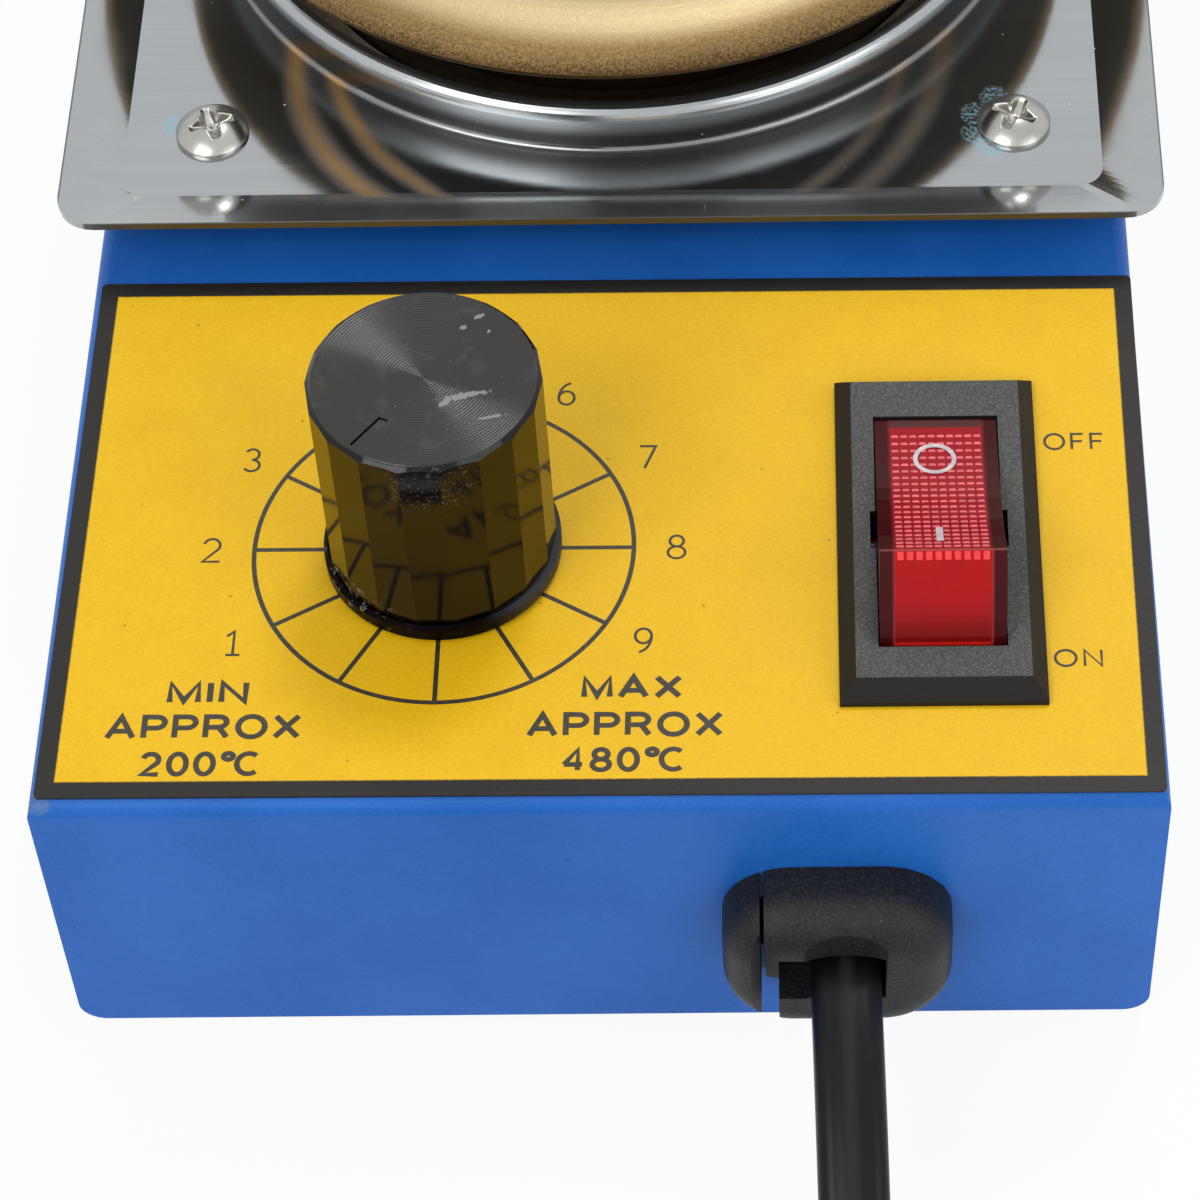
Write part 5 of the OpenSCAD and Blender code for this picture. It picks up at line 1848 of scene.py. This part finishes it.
@dataclass
class Crucible:
    """Gold cup, its heater, lining, shield and fastening."""

    def build(self) -> None:
        """Dresses the parts of the pot."""
        crest = point([*middle("crucible")[:2], top("crucible")])
        dress(SatinGold("satin_gold", crest), "crucible")
        dress(PlatedMetal("band_mica", srgb(96, 88, 76), 0.42, 0.4 * MM), "heater_band")
        dress(PlatedMetal("shield_zinc", srgb(170, 172, 174), 0.32), "heat_shield")
        dress(Fibrous("wrap_fibre"), "insulation_wrap")
        dress(Fibrous("disc_ceramic", srgb(232, 228, 216), srgb(200, 192, 174), 0.4 * MM), "insulation_disc")
        stud = PlatedMetal("stud_steel", srgb(184, 184, 180), 0.30)
        dress(stud, "pot_stud", "pot_washer", "pot_nut", "band_screw")


# -------------------------------------------------------------- dial and switch


@dataclass
class DialControl:
    """Knob and the control under it."""

    def build(self) -> None:
        """Dresses the knob and the control's metal and card."""
        low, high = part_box("knob")
        foot = point([*middle("control_shaft")[:2], low[2]])
        dress(GlossKnob("knob_gloss", foot, float(high[2] - low[2])), "knob")
        dress(PlatedMetal("shaft_steel", srgb(196, 196, 192), 0.26), "control_shaft", "control_bush")
        zinc = PlatedMetal("control_zinc", srgb(188, 188, 184), 0.32)
        dress(zinc, "control_nut", "control_washer", "control_can")
        dress(Laminate("control_card", srgb(132, 88, 50), srgb(96, 60, 34)), "control_rotor", "control_track")
        dress(PlatedMetal("lug_brass", srgb(206, 176, 108), 0.30), "control_lugs")


@dataclass
class RockerSwitch:
    """Grained frame and clear red rocker with its prisms, blocks and marks."""

    tilt: float = math.radians(19.5)
    radius: float = 10.8 * MM
    edge: float = math.radians(56.6)
    sag: float = 1.3 * MM
    columns: int = 10
    rows: int = 21
    column_pitch: float = 0.675 * MM
    rib: Point = (0.60 * MM, 0.25 * MM, 0.10 * MM)
    rib_top: tuple[float, float] = (0.7, 0.35)
    rib_span: tuple[float, float] = (7.34 * MM, -8.15 * MM)
    block: Point = (0.48 * MM, 0.26 * MM, 0.62 * MM)
    block_out: float = 0.06 * MM
    block_lean: float = math.radians(-34)
    ring_r: float = 1.42 * MM
    ring_line: float = 0.33 * MM
    ring_tall: float = 1.06
    ring_y: float = 4.80 * MM
    bar: tuple[float, float] = (0.50 * MM, 2.5 * MM)
    bar_y: float = -5.85 * MM
    mark_x: float = -0.15 * MM
    mark_lift: float = 0.06 * MM
    mark_thick: float = 0.05 * MM

    def __post_init__(self) -> None:
        """Finds the pivot from the joint, and the top's half length, height and columns."""
        joint = next(j for j in frame["joints"] if j["name"] == "rocker_tilt")
        self.pivot = np.array(point(joint["pos_m"]))
        self.half = self.radius * math.sin(self.edge)
        self.crown = self.radius * math.cos(self.edge)
        self.column_x = (np.arange(self.columns) - (self.columns - 1) / 2) * self.column_pitch

    def build(self) -> None:
        """Dresses frame, rocker and lamp, and adds what shows on and in the rocker."""
        bezel = top("switch_frame") - 0.02 * MM
        black, fleck = srgb(17, 18, 18), srgb(113, 114, 113)
        # The frame's top, above the bezel level, takes the fleck colour as painted sheen.
        grained = Moulding("frame_grain", black, fleck, 0.11 * MM, 0.05 * MM, 0.5, 0.2, bezel, 0.25)
        dress(grained, "switch_frame")
        dress(RockerLens("rocker_lens", point(self.pivot), self.tilt), "rocker")
        dress(ClearPlastic("lamp_envelope", srgb(214, 196, 186), 0.12), "switch_lamp")
        dress(PlatedMetal("tab_brass", srgb(204, 176, 110), 0.30), "switch_terminals")
        rose = ClearPlastic("prism_rose", srgb(244, 116, 126), 0.22)
        # The bright blocks are painted reflections of the prisms seen through the front face.
        bright = ClearPlastic("block_bright", srgb(255, 60, 68), 0.16)
        white = ClearPlastic("mark_white", srgb(224, 212, 218), 0.35)
        add_piece("rocker_prisms", self.prisms(), rose, Body.ROCKER, 20)
        add_piece("rocker_blocks", self.blocks(), bright, Body.ROCKER, 20)
        add_piece("rocker_mark_off", self.off_ring(), white, Body.ROCKER)
        add_piece("rocker_mark_on", self.on_bar(), white, Body.ROCKER)

    def tilted(self, shape: Shape) -> Shape:
        """A shape about the pivot, tilted with the rocker and put in its place."""
        return shape.turned(-self.tilt, Axis.X).moved(self.pivot)

    def laid(self, shape: Shape) -> Shape:
        """Lays a flat shape on the hollow top.

        A point (x, y, h) goes to height crown - sag (1 - (y / half)^2) + h, before the tilt.

        Args:
            shape: The flat shape, with the rocker's middle as its origin.

        Returns:
            The skin in its place.
        """
        points = shape.points.copy()
        points[:, 2] += self.crown - self.sag * (1 - (points[:, 1] / self.half) ** 2)
        return self.tilted(Shape(points, shape.faces))

    def prisms(self) -> Shape:
        """Rows of small ridges that glint through the top.

        One ridge has a flat foot and a narrower top; its copies fill a grid of columns and rows at once.

        Returns:
            The skin.
        """
        w, l, h = self.rib
        foot = np.array([[-w, -l], [w, -l], [w, l], [-w, l]]) / 2
        ends = [np.c_[foot, np.full(4, -h / 2)], np.c_[foot * self.rib_top, np.full(4, h)]]
        unit = Shape.grid(np.stack(ends))
        y = np.linspace(*self.rib_span, self.rows)
        spots = np.stack(np.meshgrid(self.column_x, y, 0.0), axis=-1).reshape(-1, 1, 3)
        points = (unit.points + spots).reshape(-1, 3)
        first = np.arange(len(spots))[:, None, None] * len(unit.points)
        return self.laid(Shape(points, (np.array(unit.faces) + first).reshape(-1, 4).tolist()))

    def blocks(self) -> Shape:
        """Bright blocks along the top of the front face, one below each column: painted reflections of the
        prisms seen through the face.

        Returns:
            The skin.
        """
        wide, deep, tall = self.block
        low = (-wide / 2, -self.block_out, -tall)
        unit = slab(low, (wide / 2, deep - self.block_out, 0), 0.04 * MM).turned(self.block_lean, Axis.X)
        front = (-self.half - 0.02 * MM, self.crown - 0.08 * MM)
        return self.tilted(Shape.joined([unit.moved((x, *front)) for x in self.column_x]))

    def off_ring(self) -> Shape:
        """The O of the off side: a thin flat ring laid on the top."""
        flat = flat_ring(self.ring_r, self.ring_line, self.mark_thick, 96).stretched((1, self.ring_tall, 1))
        return self.laid(flat.moved((self.mark_x, self.ring_y, self.mark_lift)))

    def on_bar(self) -> Shape:
        """The I of the on side, bent to the hollow top.

        Returns:
            The skin.
        """
        half, length = self.bar[0] / 2, self.bar[1]
        rows = [
            [(-half, y, 0), (half, y, 0), (half, y, self.mark_thick), (-half, y, self.mark_thick)]
            for y in np.linspace(-length / 2, length / 2, 9)
        ]
        return self.laid(Shape.grid(np.array(rows)).moved((self.mark_x, self.bar_y, self.mark_lift)))


@dataclass
class InnerWorks:
    """Board, block and leads inside the housing.

    A moulding is its solid, its finish's name and two colours, the size and depth of its grain in
    millimetres, and its roughness.
    """

    metals: tuple[tuple[str, PlatedMetal], ...] = (
        ("heat_sink", PlatedMetal("sink_aluminium", srgb(176, 180, 184), 0.34, 0.2 * MM)),
        ("terminal_screws", PlatedMetal("block_brass", srgb(204, 182, 120), 0.32)),
    )
    mouldings: tuple[tuple[str, str, Colour, Colour, float, float, float], ...] = (
        ("triac", "triac_epoxy", srgb(26, 26, 28), srgb(48, 48, 50), 0.3, 0.02, 0.5),
        ("capacitor", "capacitor_dip", srgb(168, 44, 28), srgb(196, 70, 44), 0.8, 0.02, 0.34),
        ("resistors", "resistor_coat", srgb(196, 172, 122), srgb(150, 120, 78), 0.9, 0.02, 0.45),
        ("terminal_block", "block_nylon", srgb(226, 222, 206), srgb(240, 238, 226), 0.5, 0.02, 0.5),
        ("mains_leads", "brown_core", srgb(92, 54, 34), srgb(112, 70, 48), 0.6, 0.01, 0.42),
        ("control_leads", "red_core", srgb(176, 34, 28), srgb(196, 56, 46), 0.6, 0.01, 0.42),
    )
    sleeve: Fibrous = Fibrous("glass_sleeve", srgb(222, 216, 196), srgb(190, 182, 158), 0.35 * MM)

    def build(self) -> None:
        """Dresses what shows through the base and round the pot."""
        dress(Laminate("board_laminate"), "circuit_board")
        dress(self.sleeve, "heater_leads")
        for node, metal in self.metals:
            dress(metal, node)
        for node, name, colour, fleck, grain, depth, rough in self.mouldings:
            dress(Moulding(name, colour, fleck, grain * MM, depth * MM, rough), node)


def main() -> None:
    """Builds the studio and the cord, then dresses and details each sub-assembly."""
    logging.basicConfig(level=logging.INFO, format="%(name)s %(message)s")
    label, switch = ControlLabel(), RockerSwitch()
    tray, cup, dial, works = DripTray(), Crucible(), DialControl(), InnerWorks()
    for part in (Studio(), MainsCord(), Housing(), label, tray, cup, dial, switch, works):
        part.build()
        LOG.info("%s done", type(part).__name__)
    bpy.context.scene.view_settings.view_transform = "Standard"


if __name__ == "__main__":
    main()
